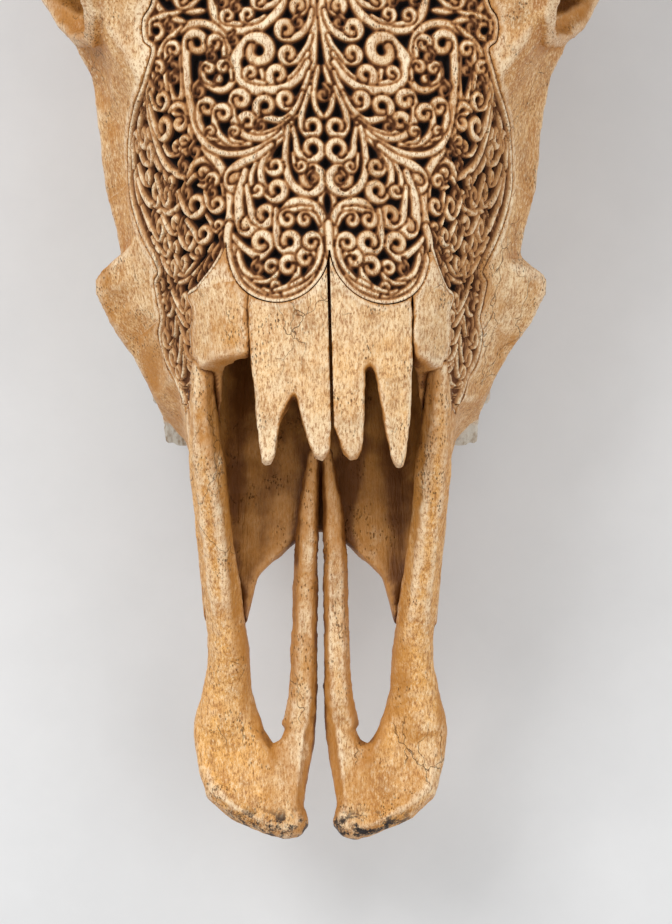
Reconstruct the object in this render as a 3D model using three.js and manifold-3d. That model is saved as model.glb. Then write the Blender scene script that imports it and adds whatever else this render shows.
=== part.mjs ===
// Ox skull without its lower jaw, life size, as it rests on a flat surface.
//
// It is modelled in its own working frame, in millimetres, and tilted at the end into the pose in
// which it lies. In the working frame Y runs back from the tip of the muzzle, Z goes up from the
// plane of the tooth crowns, and X is 0 on the midline. The animal's left side is at +X.
import * as THREE from "three";
import { mergeVertices } from "three/addons/utils/BufferGeometryUtils.js";
import Module from "manifold-3d";

const wasm = await Module();
wasm.setup();

// ---- Driving dimensions ----
const SUTURE = 0.45; // gap between neighbouring bones
const SKULL_END = 488; // back of the poll
const MERGE_DISTANCE = 0.001; // points closer than this are one point
const SMOOTHING = 0.06; // slivers and folds smaller than this are removed
const WIDE = 400; // half size of a cutting tool that clears the whole skull
const ROOF = 8; // thickness of the nasal bones where nothing opens below them
const NASAL_TIP = 111; // front tips of the nasal bones
const NASAL_END = 301; // back ends of the nasal bones
const NASAL_CUT = [60, 220]; // heights between which the nasal bones are cut out
const NOSE_FRONT = 60; // front of the space that is cleared round them
const NASAL_DRIFT = 4.5; // how far the nasal tips lean to the animal's left
const NASAL_DRIFT_FROM = 280; // where that lean begins
const TOOTH_ROOT = 33; // top of the tooth row, inside the jaw
const TOOTH_FOLD = 2.5; // depth of the fold between two lobes

// The two places on which the skull rests: the last molars and the paracondylar processes.
const REST_FRONT = { y: 275, z: 1.0 };
const REST_BACK = { y: 441, z: 28 };
const REST_TILT = Math.atan2(REST_BACK.z - REST_FRONT.z, REST_BACK.y - REST_FRONT.y);

// ---- Colours and finishes ----
const BONE = new THREE.MeshStandardMaterial({ color: 0xd2a874, roughness: 0.6, metalness: 0 });
const BONE_PALE = new THREE.MeshStandardMaterial({ color: 0xdcb885, roughness: 0.6, metalness: 0 });
const BONE_DARK = new THREE.MeshStandardMaterial({ color: 0xb98a55, roughness: 0.65, metalness: 0 });
const HORN = new THREE.MeshStandardMaterial({ color: 0x3a3029, roughness: 0.38, metalness: 0 });

// ---- Surface lines of the skull: rows of [y, x, z], the left side ----
const FACE_LINES = {
  dorsalMid: [[66, 0, 91], [111, 0, 105], [150, 0, 117.5], [200, 0, 132.5], [250, 0, 147], [290, 0, 158],
    [330, 0, 170], [370, 0, 182], [410, 0, 192], [445, 0, 200], [470, 0, 204], [488, 0, 202]],
  nasalEdge: [[66, 18, 87], [111, 20, 101], [150, 26, 113.5], [200, 28, 129], [250, 29, 144.5],
    [290, 32, 157], [330, 38, 169.5], [370, 42, 181.5], [410, 44, 191], [445, 44, 198.5], [470, 42, 202],
    [488, 38, 200]],
  shoulder: [[66, 34, 66], [111, 36, 92], [150, 38, 106], [187, 43, 120], [220, 53, 131], [240, 64, 137],
    [254, 74, 142], [268, 79, 153], [282, 87, 163], [300, 95, 169], [318, 95, 173], [335, 90, 175],
    [360, 85, 177], [400, 83, 182], [430, 86, 187], [455, 84, 190], [475, 72, 193], [488, 58, 193]],
  underEdge: [[66, 39, 56], [111, 42, 78], [150, 46, 90], [187, 54, 104], [220, 62, 114], [240, 69, 122],
    [254, 77, 129], [268, 84, 136], [286, 92, 146], [300, 95, 151], [318, 92, 158], [335, 80, 165],
    [360, 70, 167], [400, 70, 171], [430, 76, 173], [455, 80, 173], [475, 72, 172], [488, 58, 168]],
  upperSide: [[66, 40, 48], [111, 44, 66], [150, 51, 74], [187, 64, 88], [220, 69, 98], [240, 73, 106],
    [254, 78, 113], [268, 86, 120], [286, 96, 128], [300, 98, 131], [318, 90, 136], [335, 62, 147],
    [360, 55, 149], [400, 53, 150], [430, 56, 150], [455, 68, 150], [475, 70, 150], [488, 58, 146]],
  crest: [[66, 41, 42], [111, 45, 54], [131, 46.6, 51], [142, 49.4, 48], [151, 59, 48], [165, 67.6, 56],
    [174, 75.4, 62], [183, 80.8, 69], [188, 80.6, 72.5], [195, 71, 76], [204, 73, 78.5], [218, 77.4, 83.5],
    [236, 79, 92], [254, 82, 100], [266, 88.5, 106], [280, 99.5, 110], [296, 106, 112], [312, 103, 114],
    [322, 86, 119], [335, 57, 126], [360, 51, 127], [395, 53, 128], [430, 57, 125],
    [455, 76, 120], [475, 78, 118], [488, 58, 118]],
  underCrest: [[66, 41, 36], [111, 45, 42], [131, 46.6, 40], [142, 49.4, 38], [151, 58.6, 37],
    [165, 64, 45], [176, 69, 54], [186, 73, 60], [195, 69, 62], [204, 68.5, 65], [228, 72, 70],
    [254, 74, 80], [280, 86, 96], [296, 92, 100], [312, 88, 103], [322, 66, 104], [335, 46, 104],
    [360, 45, 100], [400, 48, 98], [430, 52, 96], [455, 72, 92], [475, 70, 92], [488, 50, 97]],
  alveolarOuter: [[66, 38, 30], [111, 44, 29], [131, 46, 28], [142, 49.4, 28], [150, 56.8, 27],
    [165, 63.5, 27], [187, 67, 27], [215, 70, 27], [245, 70, 28], [268, 66, 31], [280, 60, 38],
    [292, 50, 58], [304, 42, 70], [320, 36, 76], [335, 34, 78], [370, 33, 76], [400, 36, 72],
    [430, 42, 72], [455, 50, 74], [475, 44, 78], [488, 34, 84]],
  alveolarInner: [[66, 30, 29], [111, 36, 28], [140, 38, 27], [150, 37, 26.5], [187, 41, 26.5],
    [215, 44, 26.5], [245, 44, 28], [268, 42, 31], [280, 38, 40], [292, 34, 58], [304, 30, 68],
    [335, 26, 72], [370, 24, 70], [400, 22, 64], [430, 24, 66], [455, 26, 69], [488, 22, 82]],
  palateSide: [[66, 22, 33], [111, 24, 35], [150, 27, 36], [200, 31, 38], [250, 32, 39], [268, 30, 41],
    [280, 27, 50], [292, 24, 62], [304, 20, 68], [335, 17, 70], [370, 16, 68], [400, 15, 63],
    [430, 16, 65], [488, 14, 82]],
  palateMid: [[66, 0, 34], [150, 0, 38], [250, 0, 41], [268, 0, 43], [280, 0, 56], [292, 0, 66],
    [335, 0, 71], [370, 0, 69], [400, 0, 64], [430, 0, 66], [470, 0, 74], [488, 0, 84]],
};

// Inner faces of the nasal cavity, the left side.
const CAVITY_LINES = {
  roofMid: [[58, 0, 99], [111, 0, 99.5], [150, 0, 112], [200, 0, 125], [236, 0, 112]],
  roofSide: [[58, 24, 96], [111, 24, 95.5], [150, 27, 107], [200, 22, 120], [236, 8, 110]],
  shoulder: [[58, 34, 82], [111, 33, 87], [150, 33, 98], [200, 32, 108], [236, 13, 105]],
  upperSide: [[58, 36, 60], [111, 36, 68], [150, 37, 78], [200, 40, 92], [236, 16, 98]],
  lowerSide: [[58, 34, 46], [111, 37, 48], [150, 40, 56], [200, 38, 68], [236, 14, 86]],
  floorSide: [[58, 28, 39.5], [111, 32, 41], [150, 33, 45], [200, 28, 54], [236, 8, 80]],
  floorMid: [[58, 0, 39.5], [111, 0, 41], [150, 0, 45], [200, 0, 54], [236, 0, 80]],
};

// Rim of the eye socket, as [x, y, z] points round it.
const ORBIT_RIM = [[79, 255, 130], [79.5, 263, 149], [86, 277, 164], [94, 295, 170], [98, 310, 164],
  [99, 319, 147], [100, 320, 128], [102.6, 305, 113], [98.4, 285, 110], [88.6, 266, 114]];
const RIM_RADIUS = 4; // half thickness of that rim
const ORBIT = { center: [96, 288, 139], radii: [56, 29.5, 27], facing: [0.92, -0.345, 0.186] };

// ---- Small tools ----

// Smooth value at position y of a line given as rows of [y, value, value, ...].
function along(rows, y, column = 1) {
  const last = rows.length - 1;
  if (y <= rows[0][0]) return rows[0][column];
  if (y >= rows[last][0]) return rows[last][column];
  const i = rows.findIndex((row) => row[0] > y) - 1;
  const slope = (k) => {
    const a = rows[Math.max(k - 1, 0)];
    const b = rows[Math.min(k + 1, last)];
    return (b[column] - a[column]) / (b[0] - a[0]);
  };
  const span = rows[i + 1][0] - rows[i][0];
  const t = (y - rows[i][0]) / span;
  const [p, q] = [rows[i][column], rows[i + 1][column]];
  return (
    p * (2 * t ** 3 - 3 * t ** 2 + 1) + q * (3 * t ** 2 - 2 * t ** 3) +
    span * (slope(i) * (t ** 3 - 2 * t ** 2 + t) + slope(i + 1) * (t ** 3 - t ** 2))
  );
}

// A closed mesh geometry as a solid for joining and cutting, with its faces turned outwards.
function solid(geometry) {
  const bare = geometry.index ? geometry.toNonIndexed() : geometry;
  const points = new THREE.BufferGeometry().setAttribute("position", bare.getAttribute("position"));
  const merged = mergeVertices(points, MERGE_DISTANCE);
  const vertProperties = merged.attributes.position.array;
  const faces = [...merged.index.array];
  const made = (triVerts) => new wasm.Manifold(new wasm.Mesh({ numProp: 3, vertProperties, triVerts }));
  const first = made(Uint32Array.from(faces));
  return first.volume() > 0 ? first : made(Uint32Array.from(faces.reverse()));
}

// A solid back as a mesh geometry.
function geometryOf(body) {
  const { numProp, vertProperties, triVerts, numVert } = body.simplify(SMOOTHING).getMesh();
  const positions = new Float32Array(numVert * 3);
  for (let i = 0; i < numVert; i++) {
    positions.set(vertProperties.subarray(i * numProp, i * numProp + 3), i * 3);
  }
  const geometry = new THREE.BufferGeometry();
  geometry.setAttribute("position", new THREE.BufferAttribute(positions, 3));
  geometry.setIndex(new THREE.BufferAttribute(new Uint32Array(triVerts), 1));
  geometry.computeVertexNormals();
  return geometry;
}

const join = (...bodies) => bodies.reduce((a, b) => a.add(b));
const mirrored = (body) => body.mirror([1, 0, 0]);
const both = (body) => body.add(mirrored(body));

// The largest connected piece, which drops crumbs left by a cut.
function largest(body) {
  return body.decompose().reduce((a, b) => (b.volume() > a.volume() ? b : a));
}

// A closed body through rings of equal point count, each end closed by a fan round its middle.
function loft(rings) {
  const count = rings[0].length;
  const points = rings.flat();
  const faces = [];
  for (let r = 0; r + 1 < rings.length; r++) {
    for (let k = 0; k < count; k++) {
      const a = r * count + k;
      const b = r * count + ((k + 1) % count);
      faces.push([a, b, b + count], [a, b + count, a + count]);
    }
  }
  const middle = (ring) => ring.reduce((sum, p) => sum.add(p), new THREE.Vector3()).divideScalar(count);
  const first = points.push(middle(rings[0])) - 1;
  const final = points.push(middle(rings.at(-1))) - 1;
  const base = (rings.length - 1) * count;
  for (let k = 0; k < count; k++) {
    const next = (k + 1) % count;
    faces.push([first, next, k], [final, base + k, base + next]);
  }
  const geometry = new THREE.BufferGeometry().setFromPoints(points);
  geometry.setIndex(faces.flat());
  return solid(geometry);
}

// Evenly spaced stations from one y to another, no further apart than step.
function stations(from, to, step) {
  const count = Math.ceil((to - from) / step);
  return Array.from({ length: count + 1 }, (_, i) => from + ((to - from) * i) / count);
}

// A body of left and right halves through named lines, cut square across at each section. The first
// spans of the section, counted from the top middle, get a point of their own halfway.
function symmetricLoft(lines, sections, fine = 0) {
  const half = Object.values(lines);
  const rings = [];
  for (const y of sections) {
    const left = half.map((rows) => new THREE.Vector3(along(rows, y, 1), 0, along(rows, y, 2)));
    const right = left.slice(1, -1).reverse().map((p) => new THREE.Vector3(-p.x, 0, p.z));
    const control = [...left, ...right];
    const outline = new THREE.CatmullRomCurve3(control, true, "centripetal");
    const ring = [];
    control.forEach((at, k) => {
      ring.push(at.clone().setY(y));
      const upper = Math.min(k, control.length - 1 - k) < fine;
      if (!upper) return;
      ring.push(outline.getPoint((k + 0.5) / control.length).setY(y));
    });
    rings.push(ring);
  }
  return loft(rings);
}

// A tube of elliptical section along rows of [x, y, z, half width, half height].
function limb(rows, { sides = 12, steps = 12, up = [0, 0, 1], grow = 0, tip = false } = {}) {
  const path = new THREE.CatmullRomCurve3(rows.map((row) => new THREE.Vector3(...row.slice(0, 3))));
  const sizes = rows.map((row, i) => [i / (rows.length - 1), row[3], row[4]]);
  const rings = [];
  for (let s = 0; s <= steps; s++) {
    const t = s / steps;
    const tangent = path.getTangent(t);
    const side = new THREE.Vector3().crossVectors(tangent, new THREE.Vector3(...up)).normalize();
    const top = new THREE.Vector3().crossVectors(side, tangent).normalize();
    const shrink = tip && s === steps ? 0.35 : 1;
    const wide = (along(sizes, t, 1) + grow) * shrink;
    const tall = (along(sizes, t, 2) + grow) * shrink;
    const ring = [];
    for (let k = 0; k < sides; k++) {
      const angle = (2 * Math.PI * k) / sides;
      ring.push(
        path.getPoint(t)
          .addScaledVector(side, wide * Math.cos(angle))
          .addScaledVector(top, tall * Math.sin(angle)),
      );
    }
    rings.push(ring);
  }
  return loft(rings);
}

// An ellipsoid whose first radius points along facing.
function ellipsoid(center, radii, facing, detail) {
  const geometry = new THREE.SphereGeometry(1, ...detail);
  geometry.scale(...radii);
  const turn = new THREE.Quaternion().setFromUnitVectors(
    new THREE.Vector3(1, 0, 0), new THREE.Vector3(...facing).normalize());
  geometry.applyQuaternion(turn);
  geometry.translate(...center);
  return solid(geometry);
}

const shapeOf = (outline) => new THREE.Shape(outline.map(([u, v]) => new THREE.Vector2(u, v)));

// A prism seen from the side: outline of [y, z] points, from x = near to x = far.
function sidePrism(outline, near, far) {
  const geometry = new THREE.ExtrudeGeometry(shapeOf(outline), { depth: far - near, bevelEnabled: false });
  geometry.applyMatrix4(new THREE.Matrix4().set(0, 0, 1, near, 1, 0, 0, 0, 0, 1, 0, 0, 0, 0, 0, 1));
  return solid(geometry);
}

// A prism seen from above: outline of [x, y] points, from z = low to z = high.
function topPrism(outline, low, high) {
  const geometry = new THREE.ExtrudeGeometry(shapeOf(outline), { depth: high - low, bevelEnabled: false });
  geometry.translate(0, 0, low);
  return solid(geometry);
}

// An outline with every edge moved outwards by a distance.
function widened(outline, distance) {
  const turn = THREE.ShapeUtils.isClockWise(outline.map(([u, v]) => new THREE.Vector2(u, v))) ? -1 : 1;
  const outward = ([u, v], [nextU, nextV]) => new THREE.Vector2(nextV - v, u - nextU).normalize();
  return outline.map((corner, i) => {
    const before = outline.at(i - 1);
    const after = outline[(i + 1) % outline.length];
    const away = outward(before, corner).add(outward(corner, after)).setLength(turn * distance);
    return [corner[0] + away.x, corner[1] + away.y];
  });
}

// ---- Cranium and face as one body ----

// Its sections stand at the points of the cheek crest.
function skullEnvelope() {
  return symmetricLoft(FACE_LINES, FACE_LINES.crest.map(([y]) => y), 3);
}

function nasalCavity() {
  return symmetricLoft(CAVITY_LINES, stations(58, 236, 30));
}

function orbitVoid() {
  return ellipsoid(ORBIT.center, ORBIT.radii, ORBIT.facing, [14, 8]);
}

function orbitRim() {
  const path = new THREE.CatmullRomCurve3(ORBIT_RIM.map((p) => new THREE.Vector3(...p)), true);
  return solid(new THREE.TubeGeometry(path, 15, RIM_RADIUS, 4, true));
}

// The cheekbone's bar, from below the eye socket back to the hinge of the jaw.
function zygomaticArch() {
  return limb([[100, 306, 113, 5.5, 8], [99, 325, 116, 4.5, 8.5], [95, 345, 119, 4, 7.5],
    [88, 368, 122, 4, 7], [78, 388, 121, 6, 7], [62, 402, 116, 9, 8]], { steps: 7, sides: 7 });
}

function jawHinge() {
  return ellipsoid([67, 396, 108], [19, 12, 9], [1, 0, 0], [8, 5]);
}

function earTube() {
  const rows = [[52, 420, 104, 9, 9], [66, 421, 108, 8, 8], [77, 422, 112, 6.5, 6.5]];
  return limb(rows, { steps: 2, sides: 8 });
}

function tympanicBulla() {
  return ellipsoid([38, 406, 58], [11, 16, 17], [1, 0, 0], [8, 6]);
}

function paracondylarProcess() {
  return limb([[60, 455, 104, 9, 13], [59, 453, 80, 7, 14], [56, 448, 55, 6, 11], [53, 442, 34, 5, 8],
    [51, 438, 12, 4.5, 6.5]],
    { steps: 5, sides: 7, up: [0, 1, 0] });
}

function occipitalCondyle() {
  return ellipsoid([25, 472, 84], [15, 20, 21], [0.9, 0.35, 0], [10, 6]);
}

function neckOpening() {
  return ellipsoid([0, 492, 94], [19, 46, 17], [1, 0, 0], [10, 6]);
}

// The two thin plates behind the palate, and the hooks on which they end.
function pterygoidPlate() {
  return limb([[25, 268, 48, 4, 11], [23, 285, 54, 3.5, 16], [21, 305, 58, 3.2, 17], [20, 322, 58, 3, 15],
    [20, 333, 54, 2.5, 14]], { steps: 4, sides: 6 });
}

function hornStub(grow = 0) {
  const rows = [[60, 446, 173, 27, 19], [80, 451, 175, 26, 21], [96, 454, 177, 24, 22],
    [110, 456, 179.4, 23, 22]];
  return limb(rows, { steps: 2, sides: 9, grow });
}

// Everything behind the slanting line from the poll down to the neck opening is cut away.
function nuchalCut() {
  return sidePrism([[SKULL_END + 1, 212], [487, 196], [476, 176], [470, 150], [467, 120], [466, 60],
    [540, 60], [540, 212]], -WIDE, WIDE);
}

// ---- Upper jaw ----

// Front part of the palate, open on both sides of the midline up to a ragged edge.
function palateFissure() {
  const edge = [[27.6, 66], [26, 74], [24.4, 80], [22.5, 87], [18, 92], [14.5, 95], [9.5, 99.5], [4, 103]];
  const left = [[-1, 40], [27.6, 40], ...edge, [-1, 104]];
  return both(topPrism(left, -10, 60));
}

const PREMAXILLA_BAR = [[36, 34, 19, 8, 6], [33.2, 48, 23.5, 8.4, 7.5], [32.8, 60, 30, 7, 9],
  [33.9, 75, 40, 6.5, 9.5], [36.9, 95, 54, 5.8, 9.5], [39.4, 115, 69, 5.4, 9], [41, 132, 81, 5, 7.5],
  [41, 149, 92, 3.4, 4.5]];

// Everything above the bars at the side of the nose, in front of the nasal notch.
function noseOpening() {
  const bar = PREMAXILLA_BAR.slice(2).map(([, y, z]) => [y, z]);
  return sidePrism([[40, 34], ...bar.slice(0, -1), [144, 92], [144, 160], [40, 160]], -WIDE, WIDE);
}

// Cheek teeth of one side. Premolars have one lobe each and molars two.
const TEETH = [
  { y: 157, x: 51.5, across: 7, length: 15, lobes: 1 },
  { y: 173.5, x: 55, across: 8.5, length: 18, lobes: 1 },
  { y: 191.5, x: 56.5, across: 9.5, length: 18, lobes: 1 },
  { y: 212, x: 58.5, across: 10.5, length: 23, lobes: 2 },
  { y: 236.5, x: 59, across: 11, length: 25, lobes: 2 },
  { y: 263.5, x: 57, across: 10.5, length: 28, lobes: 2 },
];

// The row stands as one body. Its outline swells at each lobe and draws in where two lobes meet.
function toothRow() {
  const lobes = TEETH.flatMap(({ x, y, across, length, lobes: count }) =>
    Array.from({ length: count }, (_, i) => {
      const reach = length / count;
      return { x, across, reach: reach / 2, y: y + (i - (count - 1) / 2) * reach };
    }));
  const edge = (side) => lobes.flatMap(({ x, y, across, reach }) => [
    [x + side * (across - TOOTH_FOLD), y - reach],
    [x + side * across, y - reach / 2],
    [x + side * across, y + reach / 2],
  ]);
  const end = lobes.at(-1);
  const heel = (side) => [end.x + side * (end.across - TOOTH_FOLD), end.y + end.reach];
  return topPrism([...edge(1), heel(1), heel(-1), ...edge(-1).reverse()], 0, TOOTH_ROOT);
}

// ---- Bones made on their own ----

// Shape of the left incisive bone's plate, seen from above.
const PREMAXILLA_PLATE = [[1.4, 52], [2.2, 34], [4.1, 23], [6.6, 8.5], [4.8, 2], [7.5, -2.2], [11.8, -3.6],
  [18, -2.4], [24.2, 0.4], [32.4, 4.7], [40.3, 11.9], [43.2, 22], [45.4, 33], [45, 40.5], [42, 48],
  [39.8, 57], [28, 57], [25.4, 49.4], [20.9, 35.4], [17.3, 29.8], [13.8, 31.5], [11, 39], [10, 53]];
const PLATE_EDGE = 2.2; // rounding of the plate's rim
const PLATE_CORE = 3.2; // flat part of its thickness
const PLATE_HEIGHT = 15.5; // height of its middle

// The plate is flat when extruded, then swells at its front rim and curves up at both ends.
function premaxillaPlate() {
  const plate = new THREE.ExtrudeGeometry(shapeOf(PREMAXILLA_PLATE), {
    depth: PLATE_CORE,
    bevelSize: PLATE_EDGE,
    bevelOffset: -PLATE_EDGE,
    bevelThickness: PLATE_EDGE,
    bevelSegments: 1,
  });
  const spot = plate.getAttribute("position");
  for (let i = 0; i < spot.count; i++) {
    const [x, y, z] = [spot.getX(i), spot.getY(i), spot.getZ(i)];
    const swell = 1 + 0.7 * Math.exp(-(((y - 7) / 9) ** 2));
    const arch = 0.0035 * (y - 8) ** 2 - 0.004 * (x - 22) ** 2;
    spot.setZ(i, PLATE_HEIGHT + (z - PLATE_CORE / 2) * swell + arch);
  }
  return solid(plate);
}

// The thin rod that runs back beside the midline, in the floor of the nose.
function premaxillaRod(grow = 0) {
  const rows = [[8, 36, 19, 6, 3.5], [6.3, 48, 24, 4.8, 4.2], [5.7, 64, 29.5, 4.5, 4.6],
    [5.4, 84, 35.5, 4.4, 4.6], [5, 100, 43.5, 3.9, 4.2], [3.8, 116, 48, 3, 3.6], [2.2, 130, 51, 1.4, 2.4]];
  return limb(rows, { steps: 8, sides: 6, grow });
}

// The bar that slopes up beside the nose opening to meet the upper jaw bone.
function premaxillaBar(grow = 0) {
  return limb(PREMAXILLA_BAR, { steps: 9, sides: 7, grow });
}

function premaxilla() {
  return join(premaxillaPlate(), premaxillaRod(), premaxillaBar());
}

// Each nasal bone: its side, where its inner point stands, how far back the notch between its two
// points reaches, and how wide it is.
const NASALS = [
  ["nasal_left", 1, { point: 6.2, notch: 141, wide: 28.4 }],
  ["nasal_right", -1, { point: 4, notch: 130.5, wide: 27.4 }],
];

// The back part of a nasal bone's edge, seen from above, where it narrows into the forehead.
const nasalBack = (wide) => [[wide, 150], [wide + 0.4, 205], [wide - 1, 240], [23, 268], [13, 290],
  [4, 300]];

// The whole outline of a nasal bone seen from above, from its two points back to the forehead.
function nasalOutline(point, notch, wide) {
  return [[0.4, 140], [0.6, 119], [point - 2.6, 111.6], [point - 0.4, 108.8], [point + 2, 109.6],
    [point + 3.8, 113.6], [10.8, 124], [11.4, notch - 3], [13.2, notch], [15.4, notch - 4], [18, 122],
    [20.2, 111], [22, 108.2], [24, 108.8], [25.2, 114], [wide - 1.4, 126], ...nasalBack(wide),
    [SUTURE / 2, NASAL_END], [SUTURE / 2, 170]];
}

// The lean of the nasal bones, sideways at each y.
function lean(y) {
  const share = (NASAL_DRIFT_FROM - y) / (NASAL_DRIFT_FROM - NASAL_TIP);
  return NASAL_DRIFT * THREE.MathUtils.clamp(share, 0, 1);
}

function leaning(outline, side) {
  return outline.map(([x, y]) => [side * x + lean(y), y]);
}

// The body below the nasal bones: its top is parallel to the roof of the nose.
function underRoof(extra) {
  const lines = {
    mid: FACE_LINES.dorsalMid.map(([y, x, z]) => [y, x, z - ROOF - extra]),
    side: FACE_LINES.nasalEdge.map(([y, x, z]) => [y, x + 4, z - ROOF - extra]),
    foot: FACE_LINES.nasalEdge.map(([y, x]) => [y, x + 4, 0]),
    base: FACE_LINES.dorsalMid.map(([y, x]) => [y, x, 0]),
  };
  return symmetricLoft(lines, stations(90, 330, 48));
}

// ---- Horns ----

const HORN_PATH = [[105, 455.4, 178.6, 28.5, 27], [128, 458, 183, 27, 25.5], [158, 456, 194, 24, 23],
  [187, 447, 213, 20, 19.5], [209, 433, 240, 15, 15], [219, 418, 268, 9.5, 9.5], [220, 405, 293, 2.6, 2.6]];

function horn() {
  return limb(HORN_PATH, { steps: 9, sides: 9, tip: true }).subtract(hornStub(SUTURE));
}

// ---- Parting the skull into its bones ----

// Everything below the surface on which the skull rests.
function floorTool() {
  const slab = new THREE.BoxGeometry(2 * WIDE, 3 * WIDE, 100);
  slab.translate(0, 0, -50);
  slab.rotateX(REST_TILT);
  slab.translate(0, REST_FRONT.y, REST_FRONT.z);
  return solid(slab);
}

// Everything on one side of the midline.
function halfTool(side) {
  const box = new THREE.BoxGeometry(WIDE, 3 * WIDE, 3 * WIDE);
  box.translate(side * (WIDE / 2 + SUTURE / 2), 0, 0);
  return solid(box);
}

// How far the two outer bones round the eye socket reach in, as a distance from the midline.
const ZYGOMATIC_DEPTH = 58;
const LACRIMAL_DEPTH = 40;

// Side views of the sutures, as [y, z] outlines.
const SUTURES = {
  zygomatic: [[246, 118], [264, 126], [290, 138], [309, 142], [332, 142], [348, 128], [356, 98], [318, 92],
    [276, 80], [252, 84], [241, 100]],
  lacrimal: [[236, 168], [262, 172], [270, 150], [282, 130], [264, 126], [246, 118], [240, 140]],
  maxilla: [[30, -20], [30, 170], [236, 170], [240, 140], [246, 118], [241, 100], [252, 84], [276, 80],
    [288, 60], [290, -20]],
  frontal: [[200, 260], [200, 128], [262, 122], [282, 130], [309, 142], [332, 142], [346, 158], [468, 160],
    [520, 160], [520, 260]],
  occipital: [[424.5, -20], [424.5, 60], [446, 110], [446, 160], [520, 160], [520, -20]],
  palatine: [[255, -20], [255, 92], [338, 92], [338, -20]],
};

// The two nasal bones, and the space that their neighbours give up to them, which takes in the notches.
function nasalBones(whole) {
  const cut = (outline, side) => topPrism(leaning(outline, side), ...NASAL_CUT);
  const bones = {};
  const spaces = [];
  for (const [name, side, { point, notch, wide }] of NASALS) {
    bones[name] = whole.intersect(cut(nasalOutline(point, notch, wide), side)).subtract(underRoof(0));
    const cleared = [[-1, NOSE_FRONT], [wide, NOSE_FRONT], ...nasalBack(wide), [-1, NASAL_END]];
    spaces.push(cut(widened(cleared, SUTURE), side));
  }
  return { bones, space: join(...spaces).subtract(underRoof(SUTURE)) };
}

// The solid skull with its hollows, before the nose is opened and the bones are parted.
function solidSkull() {
  return skullEnvelope()
    .subtract(nuchalCut())
    .add(both(join(zygomaticArch(), jawHinge(), earTube(), tympanicBulla(), paracondylarProcess(),
      occipitalCondyle(), pterygoidPlate(), hornStub())))
    .subtract(nasalCavity())
    .subtract(both(orbitVoid()))
    .add(both(orbitRim()))
    .subtract(neckOpening());
}

function partedBones() {
  const whole = solidSkull();
  const { bones, space } = nasalBones(whole);
  let rest = whole
    .subtract(space)
    .subtract(noseOpening())
    .subtract(palateFissure())
    .subtract(both(premaxillaBar(SUTURE)))
    .subtract(both(premaxillaRod(SUTURE)))
    .add(both(toothRow()))
    .subtract(floorTool());

  // Takes the bones on the two sides, outside x = near, or one bone right across.
  const take = (name, outline, near) => {
    const paired = near !== undefined;
    const inner = sidePrism(outline, paired ? near : -WIDE, WIDE);
    const outer = sidePrism(widened(outline, SUTURE), paired ? near - SUTURE : -WIDE, WIDE);
    const bone = largest(rest.intersect(inner));
    if (paired) {
      bones[`${name}_left`] = bone;
      bones[`${name}_right`] = mirrored(bone);
    } else {
      bones[name] = bone;
    }
    rest = rest.subtract(paired ? both(outer) : outer);
  };
  const halve = (name) => {
    bones[`${name}_left`] = largest(bones[name].intersect(halfTool(1)));
    bones[`${name}_right`] = largest(bones[name].intersect(halfTool(-1)));
    delete bones[name];
  };

  take("zygomatic", SUTURES.zygomatic, ZYGOMATIC_DEPTH);
  take("lacrimal", SUTURES.lacrimal, LACRIMAL_DEPTH);
  take("maxilla", SUTURES.maxilla);
  halve("maxilla");
  take("frontal", SUTURES.frontal);
  halve("frontal");
  take("occipital", SUTURES.occipital);
  take("palatine", SUTURES.palatine);
  bones.braincase = rest;
  return bones;
}

// The ploughshare bone, a thin upright plate on the floor of the nose.
function vomer() {
  return limb([[0, 134, 51.5, 2.2, 4.5], [0, 160, 59, 2.4, 9], [0, 190, 66, 2.6, 11], [0, 214, 76, 2.4, 8]],
    { steps: 6, sides: 8 });
}

// ---- The whole object ----

const bones = partedBones();
bones.premaxilla_left = premaxilla();
bones.premaxilla_right = mirrored(bones.premaxilla_left);
bones.vomer = vomer();
bones.horn_left = horn();
bones.horn_right = mirrored(bones.horn_left);

const materialOf = (name) => {
  if (name.startsWith("horn")) return HORN;
  if (name.startsWith("nasal") || name.startsWith("frontal")) return BONE_PALE;
  return name === "palatine" || name === "vomer" ? BONE_DARK : BONE;
};

const skull = new THREE.Group();
for (const [name, body] of Object.entries(bones)) {
  const mesh = new THREE.Mesh(geometryOf(largest(body)), materialOf(name));
  mesh.name = name;
  skull.add(mesh);
}
skull.rotation.x = -REST_TILT;

// The origin is on the floor, below the middle of the skull's bounding box.
const box = new THREE.Box3().setFromObject(skull, true);
const middle = box.getCenter(new THREE.Vector3());
skull.position.set(-middle.x, -middle.y, -box.min.z);
const object = new THREE.Group();
object.add(skull);

export default object;
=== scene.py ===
"""Carved ox skull: bone, teeth, horns and the pierced scroll carving over the face."""

import math

import bmesh
import bpy
import numpy as np
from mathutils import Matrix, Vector, noise
from mathutils.bvhtree import BVHTree


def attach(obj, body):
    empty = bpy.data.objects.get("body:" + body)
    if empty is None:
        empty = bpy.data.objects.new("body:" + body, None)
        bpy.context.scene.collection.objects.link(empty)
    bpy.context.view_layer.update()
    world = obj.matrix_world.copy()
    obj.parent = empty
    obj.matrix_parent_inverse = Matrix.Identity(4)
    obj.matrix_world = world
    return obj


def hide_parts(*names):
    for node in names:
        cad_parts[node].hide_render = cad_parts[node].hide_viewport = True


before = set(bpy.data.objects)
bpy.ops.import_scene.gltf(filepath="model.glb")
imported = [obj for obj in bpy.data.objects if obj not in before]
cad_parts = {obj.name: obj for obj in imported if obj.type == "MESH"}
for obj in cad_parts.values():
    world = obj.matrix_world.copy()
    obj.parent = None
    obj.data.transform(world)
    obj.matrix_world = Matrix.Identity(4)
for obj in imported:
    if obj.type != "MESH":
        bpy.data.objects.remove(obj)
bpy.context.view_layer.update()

MM = 0.001

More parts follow.
